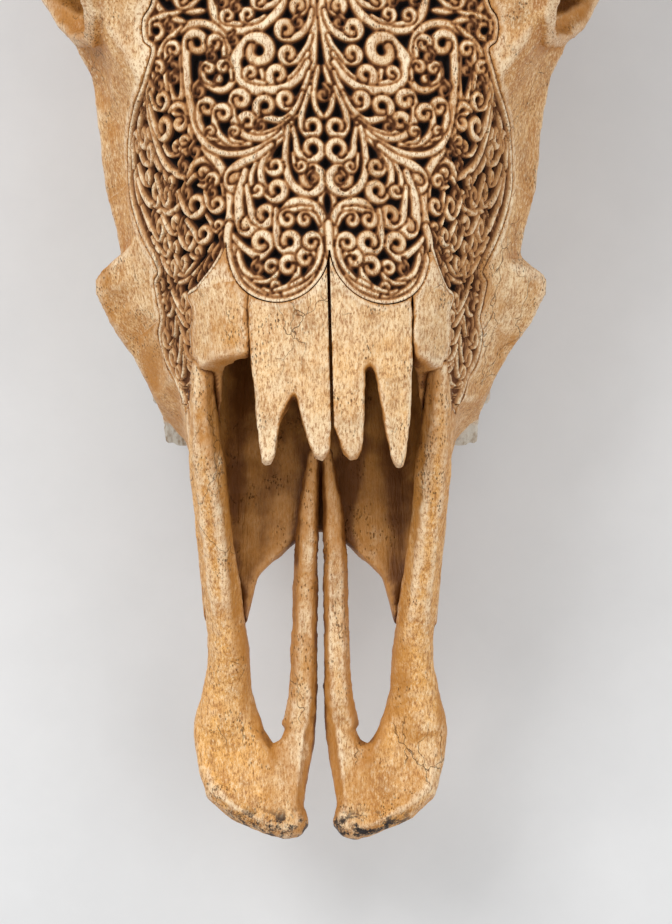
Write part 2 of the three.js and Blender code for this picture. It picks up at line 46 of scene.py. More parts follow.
# ---- The skull's own axes ----
# Most of the skull is laid out in its own axes, in millimetres: y runs back from the tip of the
# muzzle, z goes up from the plane of the teeth, and x is 0 on the midline.
REST_TILT = math.atan2(27, 166)
MUZZLE_Y = -256.252
MUZZLE_Z = 43.162
COS_TILT, SIN_TILT = math.cos(REST_TILT), math.sin(REST_TILT)


def placed(points):
    """Points in the skull's own axes, in millimetres, as points in the frame, in metres."""
    x, y, z = np.moveaxis(np.asarray(points, float), -1, 0)
    return MM * np.stack(
        [x, y * COS_TILT + z * SIN_TILT + MUZZLE_Y, z * COS_TILT - y * SIN_TILT + MUZZLE_Z], -1
    )


def own(points):
    """Points in the frame, in metres, as points in the skull's own axes, in millimetres."""
    x, y, z = np.moveaxis(np.asarray(points, float) / MM, -1, 0)
    y, z = y - MUZZLE_Y, z - MUZZLE_Z
    return np.stack([x, y * COS_TILT - z * SIN_TILT, y * SIN_TILT + z * COS_TILT], -1)


# ---- Camera ----
CAMERA_TARGET = Vector((0.0055, -0.1241, 0.0732))
CAMERA_ELEVATION = math.radians(79.8)
CAMERA_DISTANCE = 1.3
CAMERA_LENS = 141.4


def set_camera():
    lens = bpy.data.cameras.new("camera")
    lens.lens = CAMERA_LENS
    lens.sensor_width = 36
    lens.clip_start = 0.05
    camera = bpy.data.objects.new("camera", lens)
    back = Vector((0, -math.cos(CAMERA_ELEVATION), math.sin(CAMERA_ELEVATION)))
    camera.location = CAMERA_TARGET + CAMERA_DISTANCE * back
    camera.rotation_euler = back.to_track_quat("Z", "Y").to_euler()
    bpy.context.scene.collection.objects.link(camera)
    bpy.context.scene.camera = camera


set_camera()

# ---- Small tools for meshes ----


def linked(name, mesh):
    piece = bpy.data.objects.new(name, mesh)
    bpy.context.scene.collection.objects.link(piece)
    return piece


def finished(name, bm, smooth=True):
    mesh = bpy.data.meshes.new(name)
    bm.to_mesh(mesh)
    bm.free()
    mesh.polygons.foreach_set("use_smooth", [smooth] * len(mesh.polygons))
    return linked(name, mesh)


def coords(mesh):
    flat = np.empty(3 * len(mesh.vertices), np.float32)
    mesh.vertices.foreach_get("co", flat)
    return flat.reshape(-1, 3).astype(float)


def set_coords(mesh, points):
    mesh.vertices.foreach_set("co", np.asarray(points, np.float32).ravel())
    mesh.update()


def normals(mesh):
    flat = np.empty(3 * len(mesh.vertices), np.float32)
    mesh.vertex_normals.foreach_get("vector", flat)
    return flat.reshape(-1, 3).astype(float)


def edge_ends(mesh):
    flat = np.empty(2 * len(mesh.edges), np.int32)
    mesh.edges.foreach_get("vertices", flat)
    return flat.reshape(-1, 2).T


def spread(values, ends, count):
    """Mean of each point's neighbours."""
    a, b = ends
    total = np.bincount(a, values[b], count) + np.bincount(b, values[a], count)
    return total / np.maximum(np.bincount(a, minlength=count) + np.bincount(b, minlength=count), 1)


def spread_points(points, ends):
    return np.stack([spread(points[:, k], ends, len(points)) for k in range(3)], 1)


def relaxed(mesh, rounds, share_of=1.0, back=-0.63):
    """Evens out facets without shrinking: each step in is followed by a longer one out."""
    reach = np.broadcast_to(share_of, len(mesh.vertices))[:, None]
    points, ends = coords(mesh), edge_ends(mesh)
    for _ in range(rounds):
        for share in (0.6, back):
            points += share * reach * (spread_points(points, ends) - points)
    set_coords(mesh, points)


def bulge(mesh, rounds, size):
    """How far each point stands proud of its surroundings: 1 on an edge, -1 in a groove."""
    points, ends = coords(mesh), edge_ends(mesh)
    even = points
    for _ in range(rounds):
        even = spread_points(even, ends)
    return np.clip(((points - even) * normals(mesh)).sum(1) / (size * MM), -1, 1)


def applied(piece):
    """The piece's modifiers made part of its mesh."""
    bpy.context.view_layer.update()
    made = bpy.data.meshes.new_from_object(
        piece.evaluated_get(bpy.context.evaluated_depsgraph_get())
    )
    old = piece.data
    piece.modifiers.clear()
    piece.data = made
    bpy.data.meshes.remove(old)
    made.name = piece.name
    return piece


def cad_copy(nodes, grow=0.0):
    """The solids of these CAD nodes as one bmesh, each swollen by grow millimetres."""
    whole = bmesh.new()
    for node in nodes:
        one = bmesh.new()
        one.from_mesh(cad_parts[node].data)
        bmesh.ops.remove_doubles(one, verts=one.verts, dist=1e-6)
        one.normal_update()
        for v in one.verts:
            v.co += v.normal * grow * MM
        mesh = bpy.data.meshes.new("part")
        one.to_mesh(mesh)
        one.free()
        whole.from_mesh(mesh)
        bpy.data.meshes.remove(mesh)
    return whole


def even_skin(name, bm, grain, rounds, smooth=True):
    """A shape as one even skin: grain is the size of its faces in millimetres."""
    piece = finished(name, bm)
    remesh = piece.modifiers.new("even", "REMESH")
    remesh.mode = "VOXEL"
    remesh.voxel_size = grain * MM
    remesh.use_smooth_shade = smooth
    applied(piece)
    relaxed(piece.data, rounds)
    return piece


def skin(name, nodes, grain, rounds, grow=0.0):
    return even_skin(name, cad_copy(nodes, grow), grain, rounds)


def without_leaves(mesh):
    """Takes out the lone faces that a cut can leave, back to back with nothing between them."""
    mesh.validate()
    bm = bmesh.new()
    bm.from_mesh(mesh)
    leaves = [face for face in bm.faces if all(edge.is_boundary for edge in face.edges)]
    bmesh.ops.delete(bm, geom=leaves, context="FACES")
    bm.to_mesh(mesh)
    bm.free()


def carved_away(pieces, tool, operation="DIFFERENCE"):
    for piece in pieces:
        cut = piece.modifiers.new("cut", "BOOLEAN")
        cut.operation = operation
        cut.solver = "MANIFOLD"
        cut.object = tool
        without_leaves(applied(piece).data)
        piece.data.polygons.foreach_set("use_smooth", [True] * len(piece.data.polygons))
    bpy.data.objects.remove(tool)


def store(mesh, name, values):
    layer = mesh.attributes.new(name, "FLOAT", "POINT")
    layer.data.foreach_set("value", np.asarray(values, np.float32))


# ---- Finishes ----


class Board:
    """A node tree with short calls for adding and joining nodes."""

    def __init__(self, tree):
        self.tree = tree

    def node(self, kind, settings=None, **sockets):
        made = self.tree.nodes.new("ShaderNode" + kind)
        for key, value in (settings or {}).items():
            setattr(made, key, value)
        for key, value in sockets.items():
            self.feed(made.inputs[key.replace("_", " ")], value)
        return made

    def feed(self, socket, value):
        if isinstance(value, bpy.types.NodeSocket):
            self.tree.links.new(value, socket)
        else:
            socket.default_value = value

    def math(self, operation, *values, clamp=False):
        made = self.node("Math", {"operation": operation, "use_clamp": clamp})
        for socket, value in zip(made.inputs, values):
            self.feed(socket, value)
        return made.outputs[0]

    def ramp(self, value, low, high):
        smooth = {"interpolation_type": "SMOOTHSTEP"}
        made = self.node("MapRange", smooth, Value=value, From_Min=low, From_Max=high)
        return made.outputs["Result"]

    def mix(self, share, first, second, most=1):
        """The second colour over the first: share is how much of it, at most this much."""
        if most < 1:
            share = self.math("MULTIPLY", share, most)
        made = self.node("Mix", {"data_type": "RGBA"})
        for key, value in ((0, share), (6, first), (7, second)):
            self.feed(made.inputs[key], value)
        return made.outputs[2]

    def noise(self, vector, scale, detail=3.0, rough=0.5):
        made = self.node("TexNoise", Vector=vector, Scale=scale, Detail=detail, Roughness=rough)
        return made.outputs["Fac"]

    def where(self):
        return self.node("TexCoord").outputs["Object"]

    def attribute(self, name):
        return self.node("Attribute", {"attribute_name": name}).outputs["Fac"]

    def stretched(self, vector, scale):
        return self.node("Mapping", Vector=vector, Scale=scale).outputs["Vector"]

    def cells(self, vector, scale, feature):
        made = self.node("TexVoronoi", {"feature": feature}, Vector=vector, Scale=scale)
        return made.outputs["Distance"]

    def bumpy(self, shader, height, strength, distance):
        bump = self.node("Bump", Strength=strength, Distance=distance, Height=height)
        self.feed(shader.inputs["Normal"], bump.outputs["Normal"])


def new_material(name):
    material = bpy.data.materials.new(name)
    material.use_nodes = True
    tree = material.node_tree
    return material, Board(tree), tree.nodes["Principled BSDF"]


FIGURE_PARTS = ("Patch", "Mottle", "Fibre", "Pores", "Cracks", "Height")


def bone_figure():
    """Patches, streaks, pores and cracks of old bone, as a node group."""
    tree = bpy.data.node_groups.new("bone figure", "ShaderNodeTree")
    for label in FIGURE_PARTS:
        tree.interface.new_socket(label, in_out="OUTPUT", socket_type="NodeSocketFloat")
    made = tree.nodes.new("NodeGroupOutput")
    b = Board(tree)
    where = b.where()
    along = b.stretched(where, (1.0, 0.13, 0.55))
    patch = b.noise(where, 19, 4.0, 0.62)
    mottle = b.noise(where, 115, 5.0, 0.66)
    fibre = b.noise(along, 560, 4.0, 0.68)
    fine = b.noise(along, 1700, 2.0, 0.6)
    pores = 0.0
    for scale, low, high, size in ((1150, 0.50, 0.66, 0.30), (620, 0.56, 0.66, 0.20)):
        spots = b.cells(b.stretched(where, (1.0, 0.42, 0.9)), scale, "F1")
        some = b.ramp(b.noise(where, 95, 3.0), low, high)
        layer = b.math("MULTIPLY", b.ramp(spots, size, size * 0.35), some)
        pores = b.math("MAXIMUM", pores, layer)
    wander = b.node("TexNoise", Vector=where, Scale=120).outputs["Color"]
    bent = b.node("VectorMath", {"operation": "ADD"})
    b.feed(bent.inputs[0], b.stretched(where, (1.0, 0.5, 0.9)))
    b.feed(bent.inputs[1], b.stretched(wander, (0.009, 0.009, 0.009)))
    net = b.cells(bent.outputs["Vector"], 88, "DISTANCE_TO_EDGE")
    some = b.ramp(b.noise(where, 33, 3.0), 0.53, 0.62)
    cracks = b.math("MULTIPLY", b.ramp(net, 0.011, 0.002), some)
    streak = b.ramp(fibre, 0.40, 0.74)
    rise = b.math("MULTIPLY_ADD", fibre, 0.7, b.math("MULTIPLY", fine, 0.3))
    rise = b.math("MULTIPLY_ADD", mottle, 0.35, rise)
    height = b.math("MULTIPLY_ADD", b.math("MAXIMUM", pores, cracks), -0.9, rise)
    for label, value in zip(FIGURE_PARTS, (patch, mottle, streak, pores, cracks, height)):
        b.feed(made.inputs[label], value)
    return tree


BONE_FIGURE = bone_figure()

CREAM = (0.84, 0.61, 0.355, 1)
TAN = (0.66, 0.355, 0.118, 1)
RUST = (0.42, 0.160, 0.035, 1)
UMBER = (0.050, 0.018, 0.007, 1)
SOOT = (0.018, 0.010, 0.007, 1)
AMBER = (0.88, 0.455, 0.120, 1)
# IVORY is painted highlight: on the carving's tops and on raised edges
IVORY = (0.93, 0.76, 0.53, 1)
ENAMEL = (0.66, 0.60, 0.50, 1)
FOLD = (0.34, 0.23, 0.13, 1)
CRACK = (0.10, 0.035, 0.010, 1)
HONEY = (0.50, 0.215, 0.045, 1)
STAIN = (0.36, 0.165, 0.05, 1)
DARK_GRAIN = (0.31, 0.115, 0.028, 1)
PALE_GRAIN = (1.0, 0.86, 0.60, 1)
# painted shade inside the nose and other hollows
HOLLOW_SHADE = (0.47, 0.19, 0.028, 1)
DEEP_HOLLOW_SHADE = (0.16, 0.052, 0.007, 1)
# painted shade on the carving's walls and underside, near black as the shade of the holes
WALL_SHADE = (0.46, 0.215, 0.075, 1)
LOW_WALL_SHADE = (0.120, 0.040, 0.011, 1)
HOLE_SHADE = (0.008, 0.004, 0.003, 1)
BLACK_HORN = (0.028, 0.020, 0.015, 1)
BROWN_HORN = (0.085, 0.058, 0.038, 1)
PALE_HORN = (0.20, 0.15, 0.10, 1)
FLOOR_GREY = (0.56, 0.565, 0.57, 1)
FLOOR_PALE = (0.63, 0.635, 0.64, 1)


def bone_finish(name):
    """Bone: cream on top, tan with ageing and painted side shade, painted shade brown to umber in
    hollows.
    """
    material, b, shader = new_material(name)
    figure = b.node("Group", {"node_tree": BONE_FIGURE}).outputs
    patch, mottle = figure["Patch"], figure["Mottle"]
    where, relief, edge = b.where(), b.attribute("relief"), b.attribute("edge")
    # ageing, and painted shade on steep and forward-facing faces, from one attribute
    varied = b.math("MULTIPLY_ADD", patch, 1.1, b.math("MULTIPLY", mottle, 0.8))
    aged_and_shaded = b.math("ADD", varied, b.math("SUBTRACT", b.attribute("age_and_shade"), 0.95))
    colour = b.mix(b.ramp(aged_and_shaded, 0.05, 0.75), CREAM, TAN)
    colour = b.mix(b.ramp(aged_and_shaded, 0.55, 1.15), colour, RUST)
    amber = b.math("MULTIPLY", b.attribute("amber"), b.ramp(varied, 0.55, 1.25))
    colour = b.mix(amber, colour, AMBER)
    # painted highlight on the carving's tops, fibres and cracks
    worn = b.math("MULTIPLY", b.ramp(relief, 0.004, 0.014), b.ramp(relief, 0.11, 0.05))
    colour = b.mix(worn, colour, IVORY, 0.85)
    colour = b.mix(figure["Fibre"], colour, RUST, 0.55)
    whole = b.ramp(relief, 0.012, 0.004)
    cracks = b.math("MULTIPLY", figure["Cracks"], whole)
    colour = b.mix(cracks, colour, CRACK, 0.7)
    # bands, stains, painted highlight on raised edges, darker rust-brown in grooves, and grain
    band = b.noise(b.stretched(where, (1.0, 0.10, 0.5)), 150, 3.0, 0.55)
    band = b.math("MULTIPLY", b.ramp(band, 0.50, 0.68), b.ramp(aged_and_shaded, 0.0, 0.6))
    colour = b.mix(band, colour, HONEY, 0.62)
    stain = b.math("MULTIPLY", b.ramp(b.noise(where, 70, 6.0, 0.7), 0.53, 0.68), whole)
    colour = b.mix(stain, colour, STAIN, 0.55)
    # painted highlight on raised edges; grooves turn rust-brown
    colour = b.mix(b.ramp(edge, 0.22, 1.0), colour, IVORY, 0.5)
    colour = b.mix(b.ramp(edge, -0.12, -0.9), colour, RUST, 0.6)
    grain = b.noise(b.stretched(where, (1.0, 0.34, 0.8)), 1350, 4.0, 0.8)
    colour = b.mix(b.ramp(grain, 0.49, 0.40), colour, DARK_GRAIN, 0.76)
    colour = b.mix(b.ramp(grain, 0.52, 0.62), colour, PALE_GRAIN, 0.42)
    # teeth
    folds = b.noise(b.stretched(where, (1.0, 1.0, 0.10)), 300, 3.0, 0.6)
    enamel = b.mix(b.ramp(folds, 0.46, 0.66), ENAMEL, FOLD)
    colour = b.mix(b.attribute("tooth"), colour, enamel)
    colour = b.mix(figure["Pores"], colour, UMBER, 0.62)
    # painted shade inside the nose and in the teeth's hollows
    hollow_shade_level = b.math("MULTIPLY_ADD", varied, 0.38, b.math("SUBTRACT", b.attribute("hollow_shade"), 0.27))
    ridges = b.noise(b.stretched(where, (1.0, 0.16, 0.3)), 85, 3.0, 0.55)
    hollow_shade_level = b.math("ADD", hollow_shade_level, b.math("MULTIPLY_ADD", ridges, -0.6, 0.30))
    colour = b.mix(b.ramp(hollow_shade_level, 0.06, 0.32), colour, HOLLOW_SHADE, 0.85)
    colour = b.mix(b.ramp(hollow_shade_level, 0.32, 0.64), colour, DEEP_HOLLOW_SHADE)
    # painted shade on the carving's walls, darker with depth, near black deepest down as the shade
    # of the holes
    cut = b.math("MULTIPLY_ADD", mottle, 0.16, b.math("SUBTRACT", relief, 0.08))
    for low, high, shade in ((0.10, 0.22, WALL_SHADE), (0.20, 0.38, LOW_WALL_SHADE), (0.40, 0.62, HOLE_SHADE)):
        colour = b.mix(b.ramp(cut, low, high), colour, shade)
    # charred tips
    char = b.ramp(b.noise(where, 240, 5.0, 0.75), 0.46, 0.58)
    colour = b.mix(b.math("MULTIPLY", b.attribute("burnt"), char), colour, SOOT)
    b.feed(shader.inputs["Base Color"], colour)
    rough = b.math("MULTIPLY_ADD", figure["Fibre"], 0.16, 0.46)
    dull = b.math("MULTIPLY", b.ramp(relief, 0.15, 0.45), 0.5)
    b.feed(shader.inputs["Roughness"], b.math("ADD", rough, dull, clamp=True))
    shader.inputs["Specular IOR Level"].default_value = 0.3
    b.bumpy(shader, figure["Height"], 1.0, 0.0009)
    return material


BONE = bone_finish("bone")


def horn_finish(name):
    """Dark keratin with growth rings, half dull."""
    material, b, shader = new_material(name)
    along = b.node("CombineXYZ", X=b.attribute("along"), Y=0.0, Z=0.0).outputs[0]
    rings = b.noise(along, 42, 3.0, 0.6)
    flake = b.noise(b.where(), 180, 4.0, 0.65)
    colour = b.mix(b.ramp(rings, 0.38, 0.66), BLACK_HORN, BROWN_HORN)
    colour = b.mix(b.ramp(flake, 0.52, 0.72), colour, PALE_HORN, 0.5)
    b.feed(shader.inputs["Base Color"], colour)
    b.feed(shader.inputs["Roughness"], b.math("MULTIPLY_ADD", flake, 0.3, 0.28))
    b.bumpy(shader, b.math("ADD", rings, b.math("MULTIPLY", flake, 0.5)), 0.45, 0.0007)
    return material


HORN = horn_finish("horn")

# ---- Bones ----
SKULL_NODES = [
    "maxilla_left", "maxilla_right", "lacrimal_left", "lacrimal_right", "zygomatic_left",
    "zygomatic_right", "frontal_left", "frontal_right", "braincase", "occipital", "palatine",
]


def roughened(mesh, waves):
    """Uneven growth and wear: waves are (size, height) pairs in millimetres."""
    points, out = coords(mesh), normals(mesh)
    shift = np.zeros(len(points))
    for k, (size, height) in enumerate(waves):
        scaled = points / (size * MM) + 7.3 * k
        shift += height * MM * np.array([noise.noise(Vector(p)) for p in scaled])
    set_coords(mesh, points + out * shift[:, None])


def hollowed(mesh, dents):
    """Shallow hollows in the upper side: each has a place (|x|, y), a radius and a depth."""
    points, out = coords(mesh), normals(mesh)
    x, y, _ = own(points).T
    for (at_x, at_y), radius, depth in dents:
        share = np.exp(-(np.hypot(np.abs(x) - at_x, y - at_y) / radius) ** 2) * (out[:, 2] > 0.2)
        points[:, 2] -= depth * MM * share
    set_coords(mesh, points)


def tree_of(*meshes):
    whole = bmesh.new()
    for mesh in meshes:
        whole.from_mesh(mesh)
    tree = BVHTree.FromBMesh(whole)
    whole.free()
    return tree


SOLID = tree_of(*(node.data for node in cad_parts.values()))
LOOKS = [  # directions round a normal, as rings of them, straight out to nearly flat
    (math.cos(a) * r, math.sin(a) * r, h)
    for r, h, turns in (
        (0.0, 1.0, (0.0,)), (0.72, 0.69, (0.3, 2.4, 4.5)), (0.94, 0.34, (1.3, 3.4, 5.5))
    )
    for a in turns
]
LOOK_REACH = 60 * MM
LOOKED_AT = 4  # one point in this many looks round; the others take their neighbours' view


def shade_in_hollows(mesh):
    """How shut in each point is, from 0 on an open face to 1 inside the nose, painted as shade."""
    points, out = coords(mesh), normals(mesh)
    count = len(points)
    shut = np.zeros(count)
    for i in range(0, count, LOOKED_AT):
        n = Vector(out[i])
        side = n.orthogonal().normalized()
        other = n.cross(side)
        start = Vector(points[i]) + 1.6 * MM * n
        hits = 0.0
        for u, v, w in LOOKS:
            hit = SOLID.ray_cast(start, side * u + other * v + n * w, LOOK_REACH)
            if hit[0] is not None:
                hits += 1 - 0.5 * hit[3] / LOOK_REACH
        shut[i] = hits / len(LOOKS)
    known = np.zeros(count)
    known[::LOOKED_AT] = 1
    ends = edge_ends(mesh)
    weight, value = known.copy(), shut * known
    for _ in range(7):
        weight = spread(weight, ends, count) + 0.2 * known
        value = spread(value, ends, count) + 0.2 * known * shut
    return value / np.maximum(weight, 1e-6)


def eased(value, low, high):
    share = np.clip((value - low) / (high - low), 0, 1)
    return share * share * (3 - 2 * share)


def weathering(mesh, paler=0.0):
    """Stores painted shade in hollows, ageing with painted side shade, yellowing, burning and
    bulge.
    """
    x, y, _ = own(coords(mesh)).T
    x, out = np.abs(x), normals(mesh)
    # ageing by place, with painted shade: tan on faces turned away from straight up, rust on
    # forward-facing faces near the midline at the front
    aged_and_shaded = 0.34 + 0.34 * eased(out[:, 2], 0.80, 0.10)
    aged_and_shaded += 0.14 * eased(y, 130, 60) + 0.30 * eased(x, 60, 95) - paler
    aged_and_shaded -= 0.18 * eased(x, 22, 8) * eased(y, 120, 90)
    aged_and_shaded += 0.9 * eased(out[:, 1], -0.3, -0.7) * eased(x, 44, 40) * eased(y, 172, 160)
    store(mesh, "hollow_shade", shade_in_hollows(mesh))
    store(mesh, "age_and_shade", aged_and_shaded)
    store(mesh, "burnt", eased(y, 8, 0.5))
    amber = np.maximum(eased(y, 125, 55), 0.8 * eased(x, 24, 32) * eased(y, 150, 115))
    amber *= 1 - 0.55 * eased(x, 22, 14)
    tips = 0.75 * eased(y, 185, 135) * eased(x, 36, 30) * eased(y, 118, 126)
    store(mesh, "amber", np.maximum(amber, tips))
    # bulge: paints highlights on raised edges and rust-brown in grooves
    store(mesh, "edge", bulge(mesh, 14, 0.55))


def box_tool(low, high, lean=(0, 0)):
    """A block between two corners, in the skull's own axes, its front and back moved by lean."""
    bm = bmesh.new()
    bmesh.ops.create_cube(bm, size=1)
    corners = np.array([v.co for v in bm.verts]) + 0.5
    own_corners = np.array(low) + corners * (np.array(high) - np.array(low))
    own_corners[:, 0] += np.where(corners[:, 1] < 0.5, lean[0], lean[1])
    for v, spot in zip(bm.verts, placed(own_corners)):
        v.co = spot
    return finished("tool", bm, False)


def sharp_on_cut(mesh, positions):
    """Keeps the smooth skin from shading round the edge of a parting face."""
    y = own(coords(mesh))[:, 1]
    a, b = edge_ends(mesh)
    on = np.zeros(len(mesh.edges), bool)
    for position in positions:
        flat = np.abs(y - position) < 0.002
        on |= flat[a] & flat[b]
    name = "sharp_edge"
    layer = mesh.attributes.get(name) or mesh.attributes.new(name, "BOOLEAN", "EDGE")
    layer.data.foreach_set("value", on)


def ready(piece, finish, slot, *nodes):
    piece.data.materials.clear()
    piece.data.materials.append(finish)
    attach(piece, "root")
    if nodes:
        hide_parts(*nodes)


# Cheek teeth: y and x of the middle, half the width, length, number of lobes.
TEETH = (
    (157, 51.5, 7, 15, 1), (173.5, 55, 8.5, 18, 1), (191.5, 56.5, 9.5, 18, 1),
    (212, 58.5, 10.5, 23, 2), (236.5, 59, 11, 25, 2), (263.5, 57, 10.5, 28, 2),
)
GUM = 26.2  # height of the bone's edge round the teeth
FOOT, ROOT = 0.4, 31.0  # lower and upper end of a tooth
TOOTH_GRAIN = 0.75
FLOOR_CLEARANCE = 0.3 * MM
LOBES = [
    (x, y - length / 2 + length / count * (k + 0.5), across, length / count / 2)
    for y, x, across, length, count in TEETH
    for k in range(count)
]


def column(bm, x, y, across, along, sides=28):
    """An upright column with an oval outline, in the skull's own axes."""
    made = bmesh.ops.create_cone(
        bm, cap_ends=True, segments=sides, radius1=1, radius2=0.94, depth=1
    )
    corners = np.array([v.co for v in made["verts"]]) + (0, 0, 0.5)
    spot = corners * (across, along, ROOT - FOOT) + (x, y, FOOT)
    for v, place in zip(made["verts"], placed(spot)):
        v.co = place


def tooth_row(name, side):
    """The row of cheek teeth on one side, with lobes, outer ribs and worn crowns."""
    bm = bmesh.new()
    for x, y, across, reach in LOBES:
        column(bm, side * x, y, across - 0.5, reach + 0.15)
        column(bm, side * (x + 0.35), y, across - 1.6, reach - 0.1)
        for step in (-0.62, 0.62):
            column(bm, side * (x + across - 2.2), y + step * reach, 1.9, 1.7, sides=12)
    row = even_skin(name, bm, TOOTH_GRAIN, 3, smooth=False)
    mesh = row.data
    points, out = own(coords(mesh)), normals(mesh)
    lobes = np.array(LOBES)
    nearest = np.argmin(np.abs(points[:, 1:2] - lobes[:, 1]), 1)
    x, y, across, reach = lobes[nearest].T
    from_middle = np.hypot((np.abs(points[:, 0]) - x) / across, (points[:, 1] - y) / reach)
    dish = 1.3 * np.exp(-(((from_middle - 0.64) / 0.12) ** 2))
    dish += 2.4 * np.exp(-((from_middle / 0.26) ** 2))
    dish *= eased(points[:, 2], 2.5, 1.2) * eased(out[:, 2], -0.2, -0.6)
    points[:, 2] += dish
    set_coords(mesh, placed(points))
    roughened(mesh, ((6, 0.3), (2.2, 0.16)))
    points = coords(mesh)
    points[:, 2] = np.maximum(points[:, 2], FLOOR_CLEARANCE)
    set_coords(mesh, points)
    z = own(points)[:, 2]
    store(mesh, "tooth", 0.35 + 0.65 * eased(z, 27, 17))
    store(mesh, "age_and_shade", np.full(len(z), 0.3))
    # painted shade in the crown pits and up where the teeth go into the bone
    store(mesh, "hollow_shade", 0.55 * np.clip(dish / 2.4, 0, 1) + 0.3 * eased(z, 22, 28))
    return row


SIDES = {"left": 1, "right": -1}


def pushed_out(mesh, by):
    """Moves the points out along their normals by millimetres."""
    set_coords(mesh, coords(mesh) + normals(mesh) * by[:, None] * MM)


skull = skin("skull", SKULL_NODES, 1.15, 26, grow=0.26)
relaxed(skull.data, 34, eased(own(coords(skull.data))[:, 1], 405, 430))
roughened(skull.data, ((24, 0.5), (9, 0.28), (3.2, 0.14)))
for side in SIDES.values():
    low, high = sorted((side * 42, side * 74))
    carved_away([skull], box_tool((low, 146.5, -8), (high, 282, GUM)))
TOOTH_ROWS = [tooth_row("cheek_teeth_" + name, side) for name, side in SIDES.items()]
NASAL_SKINS = {
    side: skin("nasal_bone_" + side, ["nasal_" + side], 0.75, 14, grow=0.24) for side in SIDES
}
PREMAXILLA_SKINS = {
    side: skin("premaxilla_bone_" + side, ["premaxilla_" + side], 0.8, 20, grow=0.42)
    for side in SIDES
}
for piece in PREMAXILLA_SKINS.values():
    x, y, _ = own(coords(piece.data)).T
    joint = eased(np.abs(x), 20, 27) * eased(y, 18, 28) * eased(y, 72, 60)
    relaxed(piece.data, 34, joint, back=0.6)
    beside = eased(np.abs(x), 31, 35) * eased(y, 62, 74) * eased(y, 128, 118)
    pushed_out(piece.data, 0.7 * joint + 0.8 * beside)
    hollowed(piece.data, (((22, 22), 11, 1.3), ((30, 46), 8, 0.8), ((13, 12), 6, 0.8)))
for piece in (*NASAL_SKINS.values(), *PREMAXILLA_SKINS.values()):
    roughened(piece.data, ((14, 0.4), (5, 0.32), (1.9, 0.18)))
mesh = NASAL_SKINS["right"].data
x, y, _ = own(coords(mesh)).T
outer = eased(x, -18, -21) * eased(y, 132, 142) * eased(normals(mesh)[:, 0], -0.2, -0.6)
pushed_out(mesh, 0.5 * outer)
VOMER = skin("vomer_plate", ["vomer"], 0.8, 10)

# The seam between the nasal bones stays open.
SEAM_HALF, SEAM_LEAN = 0.55, 4.8
seam = box_tool((-SEAM_HALF, 100, 40), (SEAM_HALF, 280, 220), (SEAM_LEAN, 0))
carved_away(NASAL_SKINS.values(), seam)

# ---- The carving's design ----
# It is drawn on the face's own sheet, in millimetres: v is the skull's y, and a is the way from
# the midline out over the bone. A band keeps its width. A curl grows from a narrow root and winds
# into its head, given as (a, v, radius, turn), where turn is 1 for away from the trunk.
BANDS = (
    (2.6, "1.5,266 1.5,255 2.2,247 2.9,240 4.3,235 6.3,229.5 8.7,224.5 11,220.5"),
    (1.5, "0.9,238 2.5,232.5 3.3,228 2.7,224 0.6,220.8"),
    (2.6, "10.5,266 13.3,257.5 17.4,253.5 21.6,251 26.6,250.7 31.5,251.5 35,254.5 36.5,258.5 "
     "37,266"),
    (2.2, "31.4,241 33,248 36.5,251.8 41,253 46,252 50,249.5"),
    (1.9, "41.5,240 41,235 38,231.8 34.5,231 31.5,233 30.3,237 30.6,242"),
    (1.3, "20.9,239.5 20.9,237 20.2,234.2"),
    (1.6, "60,266 56.5,258.5 52,254.8 46.5,253.2"),
    (1.6, "53,266 50,259.5 45,256.6 39.5,257"),
    (2.0, "47.5,252 51,249 55,244.8 58.5,239.5 61,235 61.9,231 63,226 62.8,220.5 61.2,215 "
     "57.5,209.5 52.5,205.5 48,203"),
    (1.6, "54.6,243 53.6,236 51.8,230 49.9,227.8 48.4,231 48,238 48.6,242.5"),
    (1.8, "53.8,225 50,227 47.2,225 46.2,221 46.5,216 48.2,211"),
    (1.7, "82,220 82.2,213 80.6,206 77,199 72.2,192 67.6,185.5 62.5,179.5"),
    (1.8, "73.5,204.5 69,200.2 63,197 57,195.6 52,196.5"),
    (1.8, "66.5,224 65.8,217 63.2,211.4 58.5,206.5"),
    (1.8, "48.5,202.5 45.5,207.6 41,208.3 37.4,204.8 35.8,199 35.4,193"),
    (1.2, "64.5,177.8 60,174.6 54,173.4 48.5,174.2 44,176.8 41,181"),
    (1.2, "60.5,177.2 55,175.6 50,176.4 46,179.4"),
    (1.5, "67,180 65,172 64,164 63,156 63,150 66,145 73,142.2 82,140.2 93,138"),
    (2.6, "42.5,212.5 38.8,208.6 35.6,204 33.9,198 33.9,191 35.6,185"),
    (1.5, "0,198 1.9,195 2.3,191.6 1.3,188 0,185"),
    (2.9, "16.2,190 12.6,192.4 8.6,192.5 4.7,190.9 2.3,187.4 1.5,182.5 1.7,177 3.4,171.4 "
     "6.9,166.4 11.7,163.3 17.7,161.9"),
    (2.2, "33.6,183 33.3,176 31.5,170.2 28.2,165.9 23.7,163 18,161.9"),
    (1.6, "32,178 31.4,174.5 29.6,170.8 26,168.6 23,167.2"),
)
